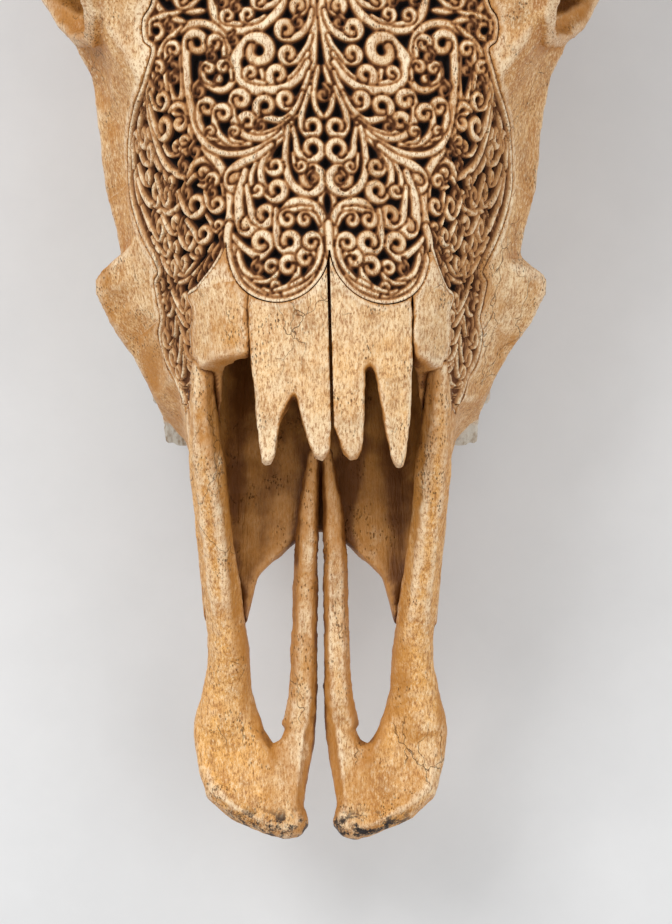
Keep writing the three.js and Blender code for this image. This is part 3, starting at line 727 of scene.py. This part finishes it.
CURLS = (
    # off the trunk
    (2.2, "3,266 3.9,259.5 5.3,256.3", (6.9, 258.2, 2.2, 1)),
    (2.0, "11.5,266 14.5,260 18.3,258.3", (20.5, 260.6, 2.2, 1)),
    (2.5, "2.1,257 3.3,252.5 6.2,248.8 9.6,247.4", (11.7, 250.5, 2.8, 1)),
    (2.3, "3,248 4.5,244.5 7.7,240.3", (11.3, 242, 2.5, 1)),
    (2.5, "4.3,242 6.3,238.7 9.5,235 12.6,232.6", (15.5, 235.2, 3.0, 1)),
    (3.6, "4.6,239 7.2,235 10.8,232 15,230.6 20.9,230.2 25.8,232 28.7,236 29.5,241",
     (21.6, 243.6, 4.6, 1)),
    (1.6, "20,232.7 22.8,233.4", (24.7, 236.4, 2.0, 1)),
    (2.2, "4.3,236 6,231.5 7.8,228 10.2,225", (13, 227, 2.6, 1)),
    (2.2, "7.1,229 9.4,224.5 12.3,221.3 16,220.1", (20.4, 225.1, 3.3, 1)),
    (2.2, "12.2,220.5 15.4,217.8 20.5,216 24,216", (26.6, 220.4, 2.7, 1)),
    (2.4, "11.4,219.5 16.5,216 22.6,214.4 28,216 31.2,220.5 31.9,225", (28.6, 227.8, 2.6, 1)),
    (1.6, "24.5,252.9 28,252.8", (31.3, 255.6, 2.1, 1)),
    (1.6, "18.6,255.2 21.5,253.6", (24.5, 255.8, 2.1, 1)),
    # the long leaf and what it holds
    (2.5, "11.4,219 17.5,214 24,211 30.5,209.7 36.5,210.5 41.3,213.6 44.2,218.8 45.4,224.5 "
     "46.3,232 46.5,240", (42.6, 246.4, 3.6, 1)),
    (1.8, "33.6,240 33.3,244", (36.3, 246.4, 2.3, -1)),
    (1.5, "37.6,232.8 40.6,234.8", (39, 238.3, 1.7, 1)),
    (1.5, "31.2,234.5 31.3,237", (33.9, 238.7, 1.8, -1)),
    (1.4, "37,233.4", (35.8, 234.6, 0.8, 1)),
    (2.0, "30.5,212 36.5,213.8 41,217 43.2,221.5", (40.2, 225.6, 2.5, 1)),
    (2.0, "26,212.8 32.5,213.2 36.3,216.3 38,220", (35, 223.4, 2.5, 1)),
    (1.3, "37.2,214.6 39.9,215.6", (39.4, 217.8, 1.2, 1)),
    (1.4, "28.5,213.5 32,214.3", (31.2, 217.3, 1.5, 1)),
    # between the long leaf and the side panel
    (1.7, "46,257.5 50,255.9 54,255.3", (57, 250.8, 3.1, -1)),
    (1.7, "40,262 44,258.6", (47.6, 260.4, 2.4, 1)),
    (1.6, "53.2,229 54.2,236 53.6,242", (51, 244.6, 2.2, 1)),
    (1.6, "59.7,231.5 58.6,236.5", (56.4, 239, 1.9, 1)),
    (1.7, "60.8,232.5 59.8,227.8", (56, 229, 2.5, -1)),
    (2.2, "61.6,229 61.1,223", (56.5, 220.8, 3.1, -1)),
    (2.1, "52,224.6", (49.9, 221, 1.8, 1)),
    (1.5, "58,216 55.2,212.3", (51.6, 213.8, 1.9, -1)),
    (1.4, "51,209.6 49.3,212", (48.6, 215.2, 1.5, -1)),
    # side panel, outer part
    (2.4, "83,217 81.6,223", (77.6, 222.6, 2.7, 1)),
    (2.3, "64.5,230 69,227.8 72.8,226", (71, 222.3, 2.6, -1)),
    (2.0, "76.5,219.5 73.4,215.4", (68.3, 216.6, 2.6, -1)),
    (1.8, "79,217 76.6,212 74.6,209.6", (72, 210.6, 1.9, -1)),
    (2.4, "80.2,213 77.2,207.2 72.6,202.4", (67.4, 204.3, 3.0, -1)),
    (2.3, "79,204 75.3,198.2 71.9,193.2", (67.3, 193.4, 3.0, -1)),
    (2.0, "73.4,192.8 69.6,187.2", (64.2, 187.2, 2.6, -1)),
    (1.9, "69,185.2 65.8,180.2", (61.5, 179.6, 2.2, -1)),
    (1.9, "66,209.5 64,203.4", (60, 201.2, 2.7, -1)),
    (1.5, "60.3,209 58.8,206.4", (56.2, 204.4, 1.7, -1)),
    (2.1, "65,196.8 61.4,191.2", (57.2, 191.7, 2.4, -1)),
    (1.6, "63,190.4 61.6,186.4", (58.6, 184.9, 1.9, -1)),
    (1.6, "60,183.4 57.6,179.6", (54.7, 179, 2.0, -1)),
    # side panel, inner part
    (2.0, "52.8,200.5 50.6,194.5", (46, 194.3, 3.2, -1)),
    (1.7, "48.5,201.5 45.2,203.8", (42.6, 204.2, 1.7, -1)),
    (1.6, "44.5,200.5 41.5,199.4", (39.4, 201.6, 1.9, 1)),
    (1.8, "42.4,198.3 41.6,194.2", (38.6, 193.6, 2.3, -1)),
    (1.8, "56,190.4 53.8,184.8", (49.8, 184.7, 2.6, -1)),
    (1.8, "50.6,191 47.4,186.4", (43.9, 184.8, 2.6, -1)),
    (1.4, "42.6,190.6 40.8,187.4", (38.6, 186.6, 1.8, -1)),
    (1.3, "50.6,180.4 48.4,178.4", (46.6, 180, 1.2, -1)),
    # side strip
    (1.6, "66.6,175 69.5,173.4", (72.2, 176.9, 2.1, 1)),
    (1.6, "64.8,169.4 68.4,167", (72.5, 170.6, 2.2, 1)),
    (1.9, "64.2,165.4 68,161 73.4,159.2", (77.2, 162.2, 2.5, 1)),
    (1.8, "63.4,160 66.6,155.4 71.4,153", (75.4, 155.6, 2.4, 1)),
    (1.7, "62.8,155 66,150.4 70.2,148.2", (73.8, 150.4, 2.1, 1)),
    (1.5, "66,146.4 71.5,144.6 75,144.4", (77.4, 146.3, 1.6, 1)),
    (1.4, "74,143.4 80,141.9", (83.6, 142.8, 1.3, 1)),
    (2.0, "64.8,173.4 61.6,168.4", (57, 167.4, 2.8, -1)),
    (1.8, "63.8,167.4 59.6,161.8", (55.4, 162, 2.4, -1)),
    (1.7, "63.4,161.6 60.6,156.4", (57, 156.8, 2.1, -1)),
    (1.7, "62.8,156 60.4,150.8", (56.8, 151.2, 2.0, -1)),
    (1.5, "62.6,150.6 59,146.2", (54.6, 146.8, 1.9, -1)),
    (1.4, "65,145.4 60.4,142.4", (56.6, 143.1, 1.4, -1)),
    (1.2, "73,141.6 69,140.4", (65.6, 141, 1.0, -1)),
    # middle, below the trunk
    (2.0, "4.3,231 6,226.5 7.8,221.8 7.9,218", (4.3, 217.6, 3.1, -1)),
    (2.2, "11,217.5 10.2,213.5 9.5,209", (4.4, 210.2, 3.6, -1)),
    (2.6, "12.6,218 13.8,211 14,205 12.7,200 10,196.8", (5.2, 200.4, 4.6, -1)),
    (1.3, "11.4,209 10.9,205.5", (8.6, 204.6, 1.7, -1)),
    (1.9, "14.8,214 18.8,210.5 20.2,206.5", (17.6, 204.8, 2.5, -1)),
    (2.4, "18,212.6 22.2,205.8 22.6,201 21.4,196.8", (17.4, 197, 3.2, -1)),
    (1.7, "23.4,208 25.8,203 26.1,199", (24, 197.3, 1.8, -1)),
    (3.0, "18.7,212 23.8,208.6 30,206.3 33.4,203.5", (31.6, 200.6, 2.5, -1)),
    (3.4, "28,204 30.6,196 30.9,189", (27.9, 185.9, 2.2, -1)),
    (2.5, "27.8,199 27,193 26,188.4", (21.9, 189, 3.1, -1)),
    # medallion
    (2.5, "34,183.4 31.2,180 27.8,177 24.4,175.2", (23.6, 180, 3.1, -1)),
    (2.6, "18,190.6 18.2,184 17.6,179.4", (13.9, 179.8, 3.4, -1)),
    (1.8, "5.7,190.4 9.7,190.6 13,189.9", (14.2, 187.2, 2.3, -1)),
    (1.6, "3.2,185 5,188.2", (8.3, 186.8, 1.9, -1)),
    (1.6, "26.5,167.4 22.6,166.8 19.3,168.2", (20.4, 171.6, 2.2, -1)),
    (1.3, "23.6,164.8 21.2,163.6", (19.4, 165.4, 1.4, -1)),
    (2.1, "19.7,163.8 14.6,165.2 11.6,168.5", (14.4, 171.7, 2.9, -1)),
    (2.1, "13.6,165.3 8.6,167.8 5.7,171.5", (8.4, 174.1, 2.6, -1)),
    (2.0, "8.6,167.5 5,171 3.1,176", (6.2, 179.4, 2.6, -1)),
)
OUTLINE = (
    "0,340.6 0.05,343 0.2,349 1.8,355.6 5.8,361.2 11.2,364.8 17.8,366.2 24.2,364.8 29.4,361.6 "
    "33.2,356.8 35.4,349.8 35.8,343 37,338 40.5,325 45,308 50,290 54,275 57,263.5 58.6,258 "
    "61.4,254 61.2,248 58.4,244.6 62,237 66,233.2 74,230.8 81,228.2 85.5,222.5 87.5,214 85.6,206 "
    "82,199 77.5,192 73,185.5 71,181 74.8,179 75.4,173.5 76,168 80.4,165 82.6,160.5 82,155.5 "
    "79.6,150.5 81.5,146.6 86,143.6 92,140.8 97,138.8 95.4,136.6 88,136.6 79,137.3 69,138.3 "
    "66,139.2 62,141.4 59.4,144.2 57,147.4 55,151 54.8,154 54,157.5 51.8,160 51,164 "
    "52.8,168.2 48.2,168.8 43.4,171.2 39.6,174.6 36.8,179 "
    "35.6,184 34.6,186.4 35.6,183 35.4,176.2 33.2,169.2 29.4,164.4 24.2,161.2 17.8,159.8 "
    "11.2,161.2 5.8,164.8 1.8,170.4 0.2,177 0.05,183 0,185.4"
)

# ---- The face's sheet ----
SHEET_STEP = 2.0
SHEET_V = np.arange(108, 386.1, SHEET_STEP)
SHEET_U = np.arange(-100, 100.1, SHEET_STEP)
RAY_FROM = 200  # where the rays start, from the line the sheet is laid round
FLAT = 26  # out to here u is the distance from the midline; beyond, it runs along the bone


def sheet_axis(v):
    """The height of the line that the sheet is laid round."""
    return np.interp(v, (96, 150, 200, 290, 400), (50, 58, 72, 95, 120))


def median_of_nine(rows):
    padded = np.pad(rows, 1, mode="edge")
    high, wide = rows.shape
    return np.median([padded[i : i + high, j : j + wide] for i in range(3) for j in range(3)], 0)


def softened(rows, times):
    for _ in range(times):
        for way in (0, 1):
            ends = [(1, 1) if k == way else (0, 0) for k in range(rows.ndim)]
            padded = np.pad(rows, ends, mode="edge")
            low = np.take(padded, range(0, rows.shape[way]), way)
            high = np.take(padded, range(2, rows.shape[way] + 2), way)
            rows = 0.25 * low + 0.5 * rows + 0.25 * high
    return rows


def face_sheet(tree):
    """Points of the bone's outer face, in the skull's own axes, for each SHEET_V and SHEET_U."""
    turns = np.radians(np.arange(0, 118, 2.0))
    sheet = np.zeros((len(SHEET_V), len(SHEET_U), 3))
    for side in (1, -1):
        reach = np.full((len(SHEET_V), len(turns)), np.nan)
        for j, v in enumerate(SHEET_V):
            foot = np.array((0, v, sheet_axis(v)))
            for k, turn in enumerate(turns):
                way = np.array((side * math.sin(turn), 0, math.cos(turn)))
                start, end = placed(foot + RAY_FROM * way), placed(foot)
                hit = tree.ray_cast(Vector(start), Vector(end - start).normalized(), RAY_FROM * MM)
                if hit[0] is not None:
                    reach[j, k] = RAY_FROM - hit[3] / MM
        reach = np.where(np.isnan(reach), np.nanmedian(reach), reach)
        reach = softened(median_of_nine(reach), 2)
        for j, v in enumerate(SHEET_V):
            x = reach[j] * np.sin(turns)
            z = sheet_axis(v) + reach[j] * np.cos(turns)
            bend = np.argmax(x > FLAT)
            z_bend = np.interp(FLAT, x[bend - 1 : bend + 1], z[bend - 1 : bend + 1])
            x, z = np.insert(x, bend, FLAT), np.insert(z, bend, z_bend)
            run = np.concatenate([[0], np.cumsum(np.hypot(np.diff(x[bend:]), np.diff(z[bend:])))])
            along = np.concatenate([x[:bend], FLAT + run])
            mine = SHEET_U * side > 0 if side < 0 else SHEET_U >= 0
            where = np.abs(SHEET_U[mine])
            sheet[j, mine, 0] = side * np.interp(where, along, x)
            sheet[j, mine, 2] = np.interp(where, along, z)
        sheet[:, :, 1] = SHEET_V[:, None]
    sheet = softened(sheet, 2)
    across, back = np.gradient(sheet, axis=1), np.gradient(sheet, axis=0)
    out = np.cross(across, back)
    out /= np.linalg.norm(out, axis=-1, keepdims=True)
    return sheet, softened(out, 3)


def on_sheet(grid, u, v):
    """Values of a sheet between its own points."""
    i, j = (u - SHEET_U[0]) / SHEET_STEP, (v - SHEET_V[0]) / SHEET_STEP
    i0 = np.clip(i.astype(int), 0, len(SHEET_U) - 2)
    j0 = np.clip(j.astype(int), 0, len(SHEET_V) - 2)
    a, b = (i - i0)[:, None], (j - j0)[:, None]
    near = grid[j0, i0] * (1 - a) + grid[j0, i0 + 1] * a
    far = grid[j0 + 1, i0] * (1 - a) + grid[j0 + 1, i0 + 1] * a
    return near * (1 - b) + far * b


SHEET, SHEET_OUT = face_sheet(tree_of(skull.data, *(one.data for one in NASAL_SKINS.values())))


def raised(u, v, height):
    """Points over the sheet at these heights, in the frame."""
    return placed(on_sheet(SHEET, u, v) + on_sheet(SHEET_OUT, u, v) * height[:, None])


# ---- The carving ----
CELL = 0.42  # size of the carving's faces
STEP = 0.55  # spacing of the points along a stroke
WIDER = 1.18
ECHO = 263  # beyond this v the design is repeated, turned end for end
EDGE_GAP = 0.42
FAR = 9.0  # more than any depth or distance that counts here
ORDER_STEP = 1000  # more than the points of any stroke
BAND_TOP = -0.25
GROOVE = 2.3  # depth of the groove beside a stroke that lies over others


def floor_at(v):
    """The underside of the carving: shallower where the wall of the nose is thin."""
    return np.interp(v, (146, 168), (-2.6, -5.7))


TRUNK_AT, TRUNK_IS = (160, 180, 200, 225, 255, 300), (3.8, 3.2, 2.2, 1.2, -0.7, 0)
GRID_U = np.arange(-91, 91 + CELL / 2, CELL)
GRID_V = np.arange(122, 369 + CELL / 2, CELL)


def across(side, a, v):
    """The u of a point at a way a from the trunk, which wanders a little to either side."""
    fade = eased(np.abs(a), 56, 36)
    return side * a + np.interp(v, TRUNK_AT, TRUNK_IS) * fade


def spots(text):
    return np.array([[float(k) for k in one.split(",")] for one in text.split()])


def flowing(points):
    """Evenly spaced points on a smooth curve through these."""
    p = np.vstack([2 * points[0] - points[1], points, 2 * points[-1] - points[-2]])
    t = np.linspace(0, 1, 14, endpoint=False)[:, None]
    pieces = []
    for a, b, c, d in zip(p, p[1:], p[2:], p[3:]):
        bend = (2 * a - 5 * b + 4 * c - d) * t**2 + (3 * b - a - 3 * c + d) * t**3
        pieces.append(0.5 * (2 * b + (c - a) * t + bend))
    fine = np.vstack(pieces + [p[-2:-1]])
    run = np.concatenate([[0], np.cumsum(np.hypot(*np.diff(fine, axis=0).T))])
    even = np.linspace(0, run[-1], max(3, int(run[-1] / STEP) + 1))
    return np.stack([np.interp(even, run, fine[:, k]) for k in (0, 1)], 1)


def curl_path(points, head):
    """The path carried on to the head's circle and round it, winding in."""
    a, v, radius, turn = head
    off = points[-1] - (a, v)
    far = max(math.hypot(*off), radius * 1.02)
    start = math.atan2(off[1], off[0]) + turn * math.acos(radius / far)
    t = np.linspace(0, 1, 15)
    angle = start + turn * 2 * math.pi * 0.98 * t
    shrunk = radius * (1 - 0.42 * t**1.3)
    ring = np.stack([a + shrunk * np.cos(angle), v + shrunk * np.sin(angle)], 1)
    return flowing(np.vstack([points, ring]))


class Relief:
    """Heights over the sheet, drawn stroke by stroke: a later stroke lies over the earlier ones."""

    def __init__(self):
        shape = len(GRID_V), len(GRID_U)
        self.height = np.full(shape, -FAR)
        self.order = np.full(shape, -1)
        self.edge = np.full(shape, FAR)
        self.count = 0

    def stroke(self, path, widths, tops):
        self.count += ORDER_STEP
        for i, ((ua, va), (ub, vb)) in enumerate(zip(path, path[1:])):
            half = widths[i] / 2
            reach = half + 1.3
            i0, i1 = np.searchsorted(GRID_U, (min(ua, ub) - reach, max(ua, ub) + reach))
            j0, j1 = np.searchsorted(GRID_V, (min(va, vb) - reach, max(va, vb) + reach))
            if i0 == i1 or j0 == j1:
                continue
            spot = np.s_[j0:j1, i0:i1]
            du, dv = GRID_U[i0:i1][None] - ua, GRID_V[j0:j1][:, None] - va
            eu, ev = ub - ua, vb - va
            t = np.clip((du * eu + dv * ev) / max(eu * eu + ev * ev, 1e-9), 0, 1)
            away = np.hypot(du - t * eu, dv - t * ev)
            order, height, edge = self.order[spot], self.height[spot], self.edge[spot]
            just_drawn = order > self.count + i - int((widths[i] * 1.1 + 1.2) / STEP)
            inside = away < half
            rounded = 0.75 * np.clip((away / half - 0.35) / 0.65, 0, 1) ** 2
            vein = 0.16 * np.exp(-((away / 0.35) ** 2)) * (half > 0.85)
            new = tops[i] - rounded - vein
            groove = ~inside & (away < half + 0.5) & ~just_drawn & (order >= 0)
            height[groove] = np.minimum(height[groove], tops[i] - GROOVE)
            height[inside & ~just_drawn] = new[inside & ~just_drawn]
            again = inside & just_drawn
            height[again] = np.maximum(height[again], new[again])
            order[inside] = self.count + i
            np.minimum(edge, away - half, out=edge)

    def band(self, width, path):
        s = np.linspace(0, 1, len(path))
        share = np.minimum(1, 0.35 + 0.65 * np.minimum(s, 1 - s) / 0.1)
        self.stroke(path, width * share, np.full(len(path), BAND_TOP))

    def curl(self, width, path, radius, sunk=0.1):
        """Narrow at the root, full where the head begins, and sinking as it winds in."""
        lead = max(0.15, 1 - 2 * math.pi * radius * 0.8 / (len(path) * STEP))
        s = np.linspace(0, 1, len(path))
        stages = (0, lead * 0.55, lead, 0.55 + 0.45 * lead, 1)
        share = np.interp(s, stages, (0.5, 0.8, 1, 0.88, 0.74))
        self.stroke(path, width * share, -sunk - 0.75 * np.clip((s - lead) / (1 - lead), 0, 1) ** 2)

    def openness(self, rounds=6):
        """How far each point is from the nearest stroke."""
        away = np.where(self.order >= 0, 0, np.where(self.edge < 1.2, self.edge, FAR))
        for _ in range(rounds):
            for dj, di, share in ((0, 1, 1), (1, 0, 1), (1, 1, 1.41), (1, -1, 1.41)):
                for turn in (1, -1):
                    moved = np.roll(away, (turn * dj, turn * di), (0, 1))
                    away = np.minimum(away, moved + share * CELL)
        return away

    def fill(self, inside, widest):
        """Small curls in the open places inside the outline, each hung on the nearest stroke."""
        away = np.where(inside, self.openness(9), 0)
        order = np.argsort(away, axis=None)[::-1]
        taken = []
        for j, i in zip(*np.unravel_index(order[: int((away > widest).sum())], away.shape)):
            u, v, free = GRID_U[i], GRID_V[j], away[j, i]
            if any(math.hypot(u - a, v - b) < 1.15 * (free + c) for a, b, c in taken):
                continue
            taken.append((u, v, free))
        for u, v, free in taken:
            side = 1 if u > 0 else -1
            free = min(free, 2.9)
            root = (u, v) + free * np.array([(side * 0.1, 1.55), (side * 0.95, 0.6)])
            path = curl_path(root, (u, v, 0.62 * free, -side))
            self.curl(0.70 * free, path, 0.62 * free, sunk=0.9)

    def heights(self):
        drawn = self.order >= 0
        ground = -1.5 - 2.9 * self.openness()
        rough = softened(np.where(drawn, self.height, ground), 1)
        return np.maximum(rough, floor_at(GRID_V)[:, None] + 0.7)


def outline_path():
    half = flowing(spots(OUTLINE))
    sides = [np.stack([across(side, *half.T), half[:, 1]], 1) for side in (-1, 1)]
    return np.vstack([sides[0], sides[1][::-1]])


def carved_relief():
    relief = Relief()
    for echo in (True, False):
        for side in (-1, 1):

            def on_face(path):
                a, v = path.T
                v = 2 * ECHO - v if echo else v
                return np.stack([across(side, a, v), v], 1)

            for width, text in BANDS:
                relief.band(width * WIDER, on_face(flowing(spots(text))))
            for width, text, head in CURLS:
                relief.curl(width * WIDER, on_face(curl_path(spots(text), head)), head[2])
    return relief


def outline_field(path):
    """For each point of the grid: is it inside, how far is the outline, and its nearest point."""
    reach = 2.2
    shape = len(GRID_V), len(GRID_U)
    inside = np.zeros(shape, bool)
    near = np.full(shape, FAR)
    nearest = np.zeros(shape + (2,))
    for (ua, va), (ub, vb) in zip(path, np.roll(path, -1, 0)):
        j0, j1 = np.searchsorted(GRID_V, sorted((va, vb)))
        for j in range(j0, j1):
            cross = ua + (ub - ua) * (GRID_V[j] - va) / (vb - va)
            inside[j, GRID_U > cross] ^= True
        i0, i1 = np.searchsorted(GRID_U, (min(ua, ub) - reach, max(ua, ub) + reach))
        j0, j1 = np.searchsorted(GRID_V, (min(va, vb) - reach, max(va, vb) + reach))
        spot = np.s_[j0:j1, i0:i1]
        du, dv = GRID_U[i0:i1][None] - ua, GRID_V[j0:j1][:, None] - va
        eu, ev = ub - ua, vb - va
        t = np.clip((du * eu + dv * ev) / max(eu * eu + ev * ev, 1e-9), 0, 1)
        away = np.hypot(du - t * eu, dv - t * ev)
        closer = away < near[spot]
        near[spot][closer] = away[closer]
        nearest[spot][closer] = np.stack([ua + t * eu, va + t * ev], -1)[closer]
    return inside, near, nearest


def joined_corners(cells):
    """Cells that touch only at a corner are given a neighbour."""
    while True:
        a, b, c, d = cells[:-1, :-1], cells[:-1, 1:], cells[1:, :-1], cells[1:, 1:]
        first, second = a & d & ~b & ~c, b & c & ~a & ~d
        if not (first | second).any():
            return cells
        cells[:-1, 1:] |= first
        cells[:-1, :-1] |= second


def plate(name, rows, grow, top, below=0.0):
    """A slab that follows the sheet inside the carving's outline, over these rows of the grid."""
    inside, near, nearest = OUTLINE_FIELD
    signed = np.where(inside, -near, near)
    kept = signed < grow + 0.3 * CELL
    cells = joined_corners(kept[:-1, :-1] & kept[:-1, 1:] & kept[1:, :-1] & kept[1:, 1:])
    around = np.pad(cells, 1)
    rim = ~(around[:-1, :-1] & around[:-1, 1:] & around[1:, :-1] & around[1:, 1:])
    grid_v, grid_u = np.meshgrid(GRID_V, GRID_U, indexing="ij")
    spot = np.stack([grid_u, grid_v], -1)
    away = (spot - nearest) * np.where(inside, -1, 1)[..., None]
    away /= np.maximum(np.linalg.norm(away, axis=-1, keepdims=True), 1e-6)
    spot[rim] = (nearest + grow * away)[rim]
    j0, j1 = rows
    used = np.flatnonzero(cells[j0:j1].any(0))
    i0, i1 = used[0], used[-1] + 1
    bm = bmesh.new()
    bmesh.ops.create_grid(bm, x_segments=i1 - i0, y_segments=j1 - j0, size=0.5)
    scale = Vector((i1 - i0, j1 - j0, 1))
    for v in bm.verts:
        v.co = Vector((round((v.co.x + 0.5) * scale.x), round((v.co.y + 0.5) * scale.y), 0))
    unused = []
    for face in bm.faces:
        at = face.calc_center_median()
        if not cells[j0 + int(at.y), i0 + int(at.x)]:
            unused.append(face)
    bmesh.ops.delete(bm, geom=unused, context="FACES")
    made = bmesh.ops.extrude_face_region(bm, geom=bm.faces[:], use_keep_orig=True)
    for v in made["geom"]:
        if isinstance(v, bmesh.types.BMVert):
            v.co.z = 1
    bmesh.ops.recalc_face_normals(bm, faces=bm.faces)
    piece = finished(name, bm)
    corner = coords(piece.data)
    i, j = np.rint(corner[:, 0]).astype(int) + i0, np.rint(corner[:, 1]).astype(int) + j0
    upper = corner[:, 2] > 0.5
    u, v = spot[j, i].T
    height = np.where(upper, top[j, i] if isinstance(top, np.ndarray) else top, floor_at(v) - below)
    set_coords(piece.data, raised(u, v, height))
    return piece, upper, height


OUTLINE_PATH = outline_path()
OUTLINE_FIELD = outline_field(OUTLINE_PATH)
relief = carved_relief()
for widest in (2.3, 1.9, 1.7):
    relief.fill(OUTLINE_FIELD[0], widest)
relief.stroke(
    np.vstack([OUTLINE_PATH, OUTLINE_PATH[:3]]),
    np.full(len(OUTLINE_PATH) + 3, 2.7),
    np.full(len(OUTLINE_PATH) + 3, -0.15),
)
RELIEF = relief.heights()
ROW_CUTS = [int(v) for v in np.searchsorted(GRID_V, (122, 178, 206, 228, 248, 276, 312, 369.2))]
ROW_CUTS[-1] = len(GRID_V) - 1
carving_parts = []
for k, (j0, j1) in enumerate(zip(ROW_CUTS, ROW_CUTS[1:])):
    piece, upper, height = plate(f"carving_{k + 1}", (j0, j1), 0, RELIEF)
    # the undersides get relief 1, which paints them near black as the shade of the holes
    store(piece.data, "relief", np.where(upper, np.clip(-height / 5, 0, 1), 1))
    store(piece.data, "age_and_shade", 0.12 + 0.30 * eased(np.abs(own(coords(piece.data))[:, 0]), 26, 56))
    carving_parts.append(piece)
recess, _, _ = plate("recess", (0, len(GRID_V) - 1), EDGE_GAP, 3.0, 0.3)
carved_away((skull, *NASAL_SKINS.values()), recess)

# ---- Parting the skull's skin ----
CUTS = (168, 214, 262, 320, 398)  # from front to back
PART_NODES = {
    "snout_bone": ["maxilla_left", "maxilla_right"],
    "cheek_bone": [],
    "face_bone": ["lacrimal_left", "lacrimal_right"],
    "orbit_bone": ["zygomatic_left", "zygomatic_right", "palatine"],
    "brow_bone": ["frontal_left", "frontal_right"],
    "poll_bone": ["braincase", "occipital"],
}
ends = (-60, *CUTS, 620)
for k, (part_name, nodes) in enumerate(PART_NODES.items()):
    piece = linked(part_name, skull.data.copy())
    block = box_tool((-400, ends[k], -200), (400, ends[k + 1], 500))
    carved_away([piece], block, "INTERSECT")
    sharp_on_cut(piece.data, CUTS)
    weathering(piece.data)
    ready(piece, BONE, "bone", *nodes)
bpy.data.objects.remove(skull)
for side in SIDES:
    weathering(NASAL_SKINS[side].data, paler=0.22)
    ready(NASAL_SKINS[side], BONE, "bone", "nasal_" + side)
    weathering(PREMAXILLA_SKINS[side].data)
    ready(PREMAXILLA_SKINS[side], BONE, "bone", "premaxilla_" + side)
weathering(VOMER.data)
ready(VOMER, BONE, "bone", "vomer")
for piece in (*carving_parts, *TOOTH_ROWS):
    ready(piece, BONE, "bone")

# ---- Horns ----
for side in SIDES:
    horn = skin("horn_sheath_" + side, ["horn_" + side], 1.5, 110, grow=0.3)
    points = coords(horn.data)
    away = np.abs(points[:, 0]) + 0.9 * (points[:, 2] - 0.14)
    from_root = (away - away.min()) / MM
    waves = np.sin(from_root / 1.25 + 1.3 * np.sin(from_root / 9)) * eased(from_root, 110, 30)
    rings = 0.3 * waves * eased(from_root, 4, 12) * eased(from_root, 150, 100)
    set_coords(horn.data, points + normals(horn.data) * (rings * MM)[:, None])
    roughened(horn.data, ((20, 0.4),))
    store(horn.data, "along", away)
    ready(horn, HORN, "horn", "horn_" + side)

# ---- Floor and light ----


FLOOR_HALF = 4
FLOOR_HEIGHT = -0.0004
LIT_SPOT = (0, -0.1, 0.05)
SKY_STRENGTH = 0.72


def floor_finish():
    material, b, shader = new_material("floor")
    cloud = b.noise(b.where(), 5, 7.0, 0.66)
    b.feed(shader.inputs["Base Color"], b.mix(b.ramp(cloud, 0.28, 0.72), FLOOR_GREY, FLOOR_PALE))
    shader.inputs["Roughness"].default_value = 0.85
    shader.inputs["Emission Color"].default_value = (1, 1, 1, 1)
    shader.inputs["Emission Strength"].default_value = 0.10
    return material


def set_floor():
    bm = bmesh.new()
    bmesh.ops.create_grid(bm, x_segments=1, y_segments=1, size=FLOOR_HALF)
    floor = finished("floor", bm, False)
    for v in floor.data.vertices:
        v.co.z = FLOOR_HEIGHT
    floor.data.materials.append(floor_finish())


def area_light(name, spot, size, power):
    lamp = bpy.data.lights.new(name, "AREA")
    lamp.energy = power
    lamp.size = size
    piece = bpy.data.objects.new(name, lamp)
    piece.location = spot
    aim = Vector(spot) - Vector(LIT_SPOT)
    piece.rotation_euler = aim.to_track_quat("Z", "Y").to_euler()
    bpy.context.scene.collection.objects.link(piece)


def set_light():
    world = bpy.data.worlds.new("studio")
    bpy.context.scene.world = world
    world.use_nodes = True
    sky = world.node_tree.nodes["Background"].inputs
    sky["Color"].default_value = (1, 1, 1, 1)
    sky["Strength"].default_value = SKY_STRENGTH
    area_light("key", (-1.3, 0.9, 1.9), size=1.3, power=30)
    area_light("fill", (1.4, -0.6, 2.0), size=2.0, power=14)
    bpy.context.scene.view_settings.view_transform = "Standard"


set_floor()
set_light()
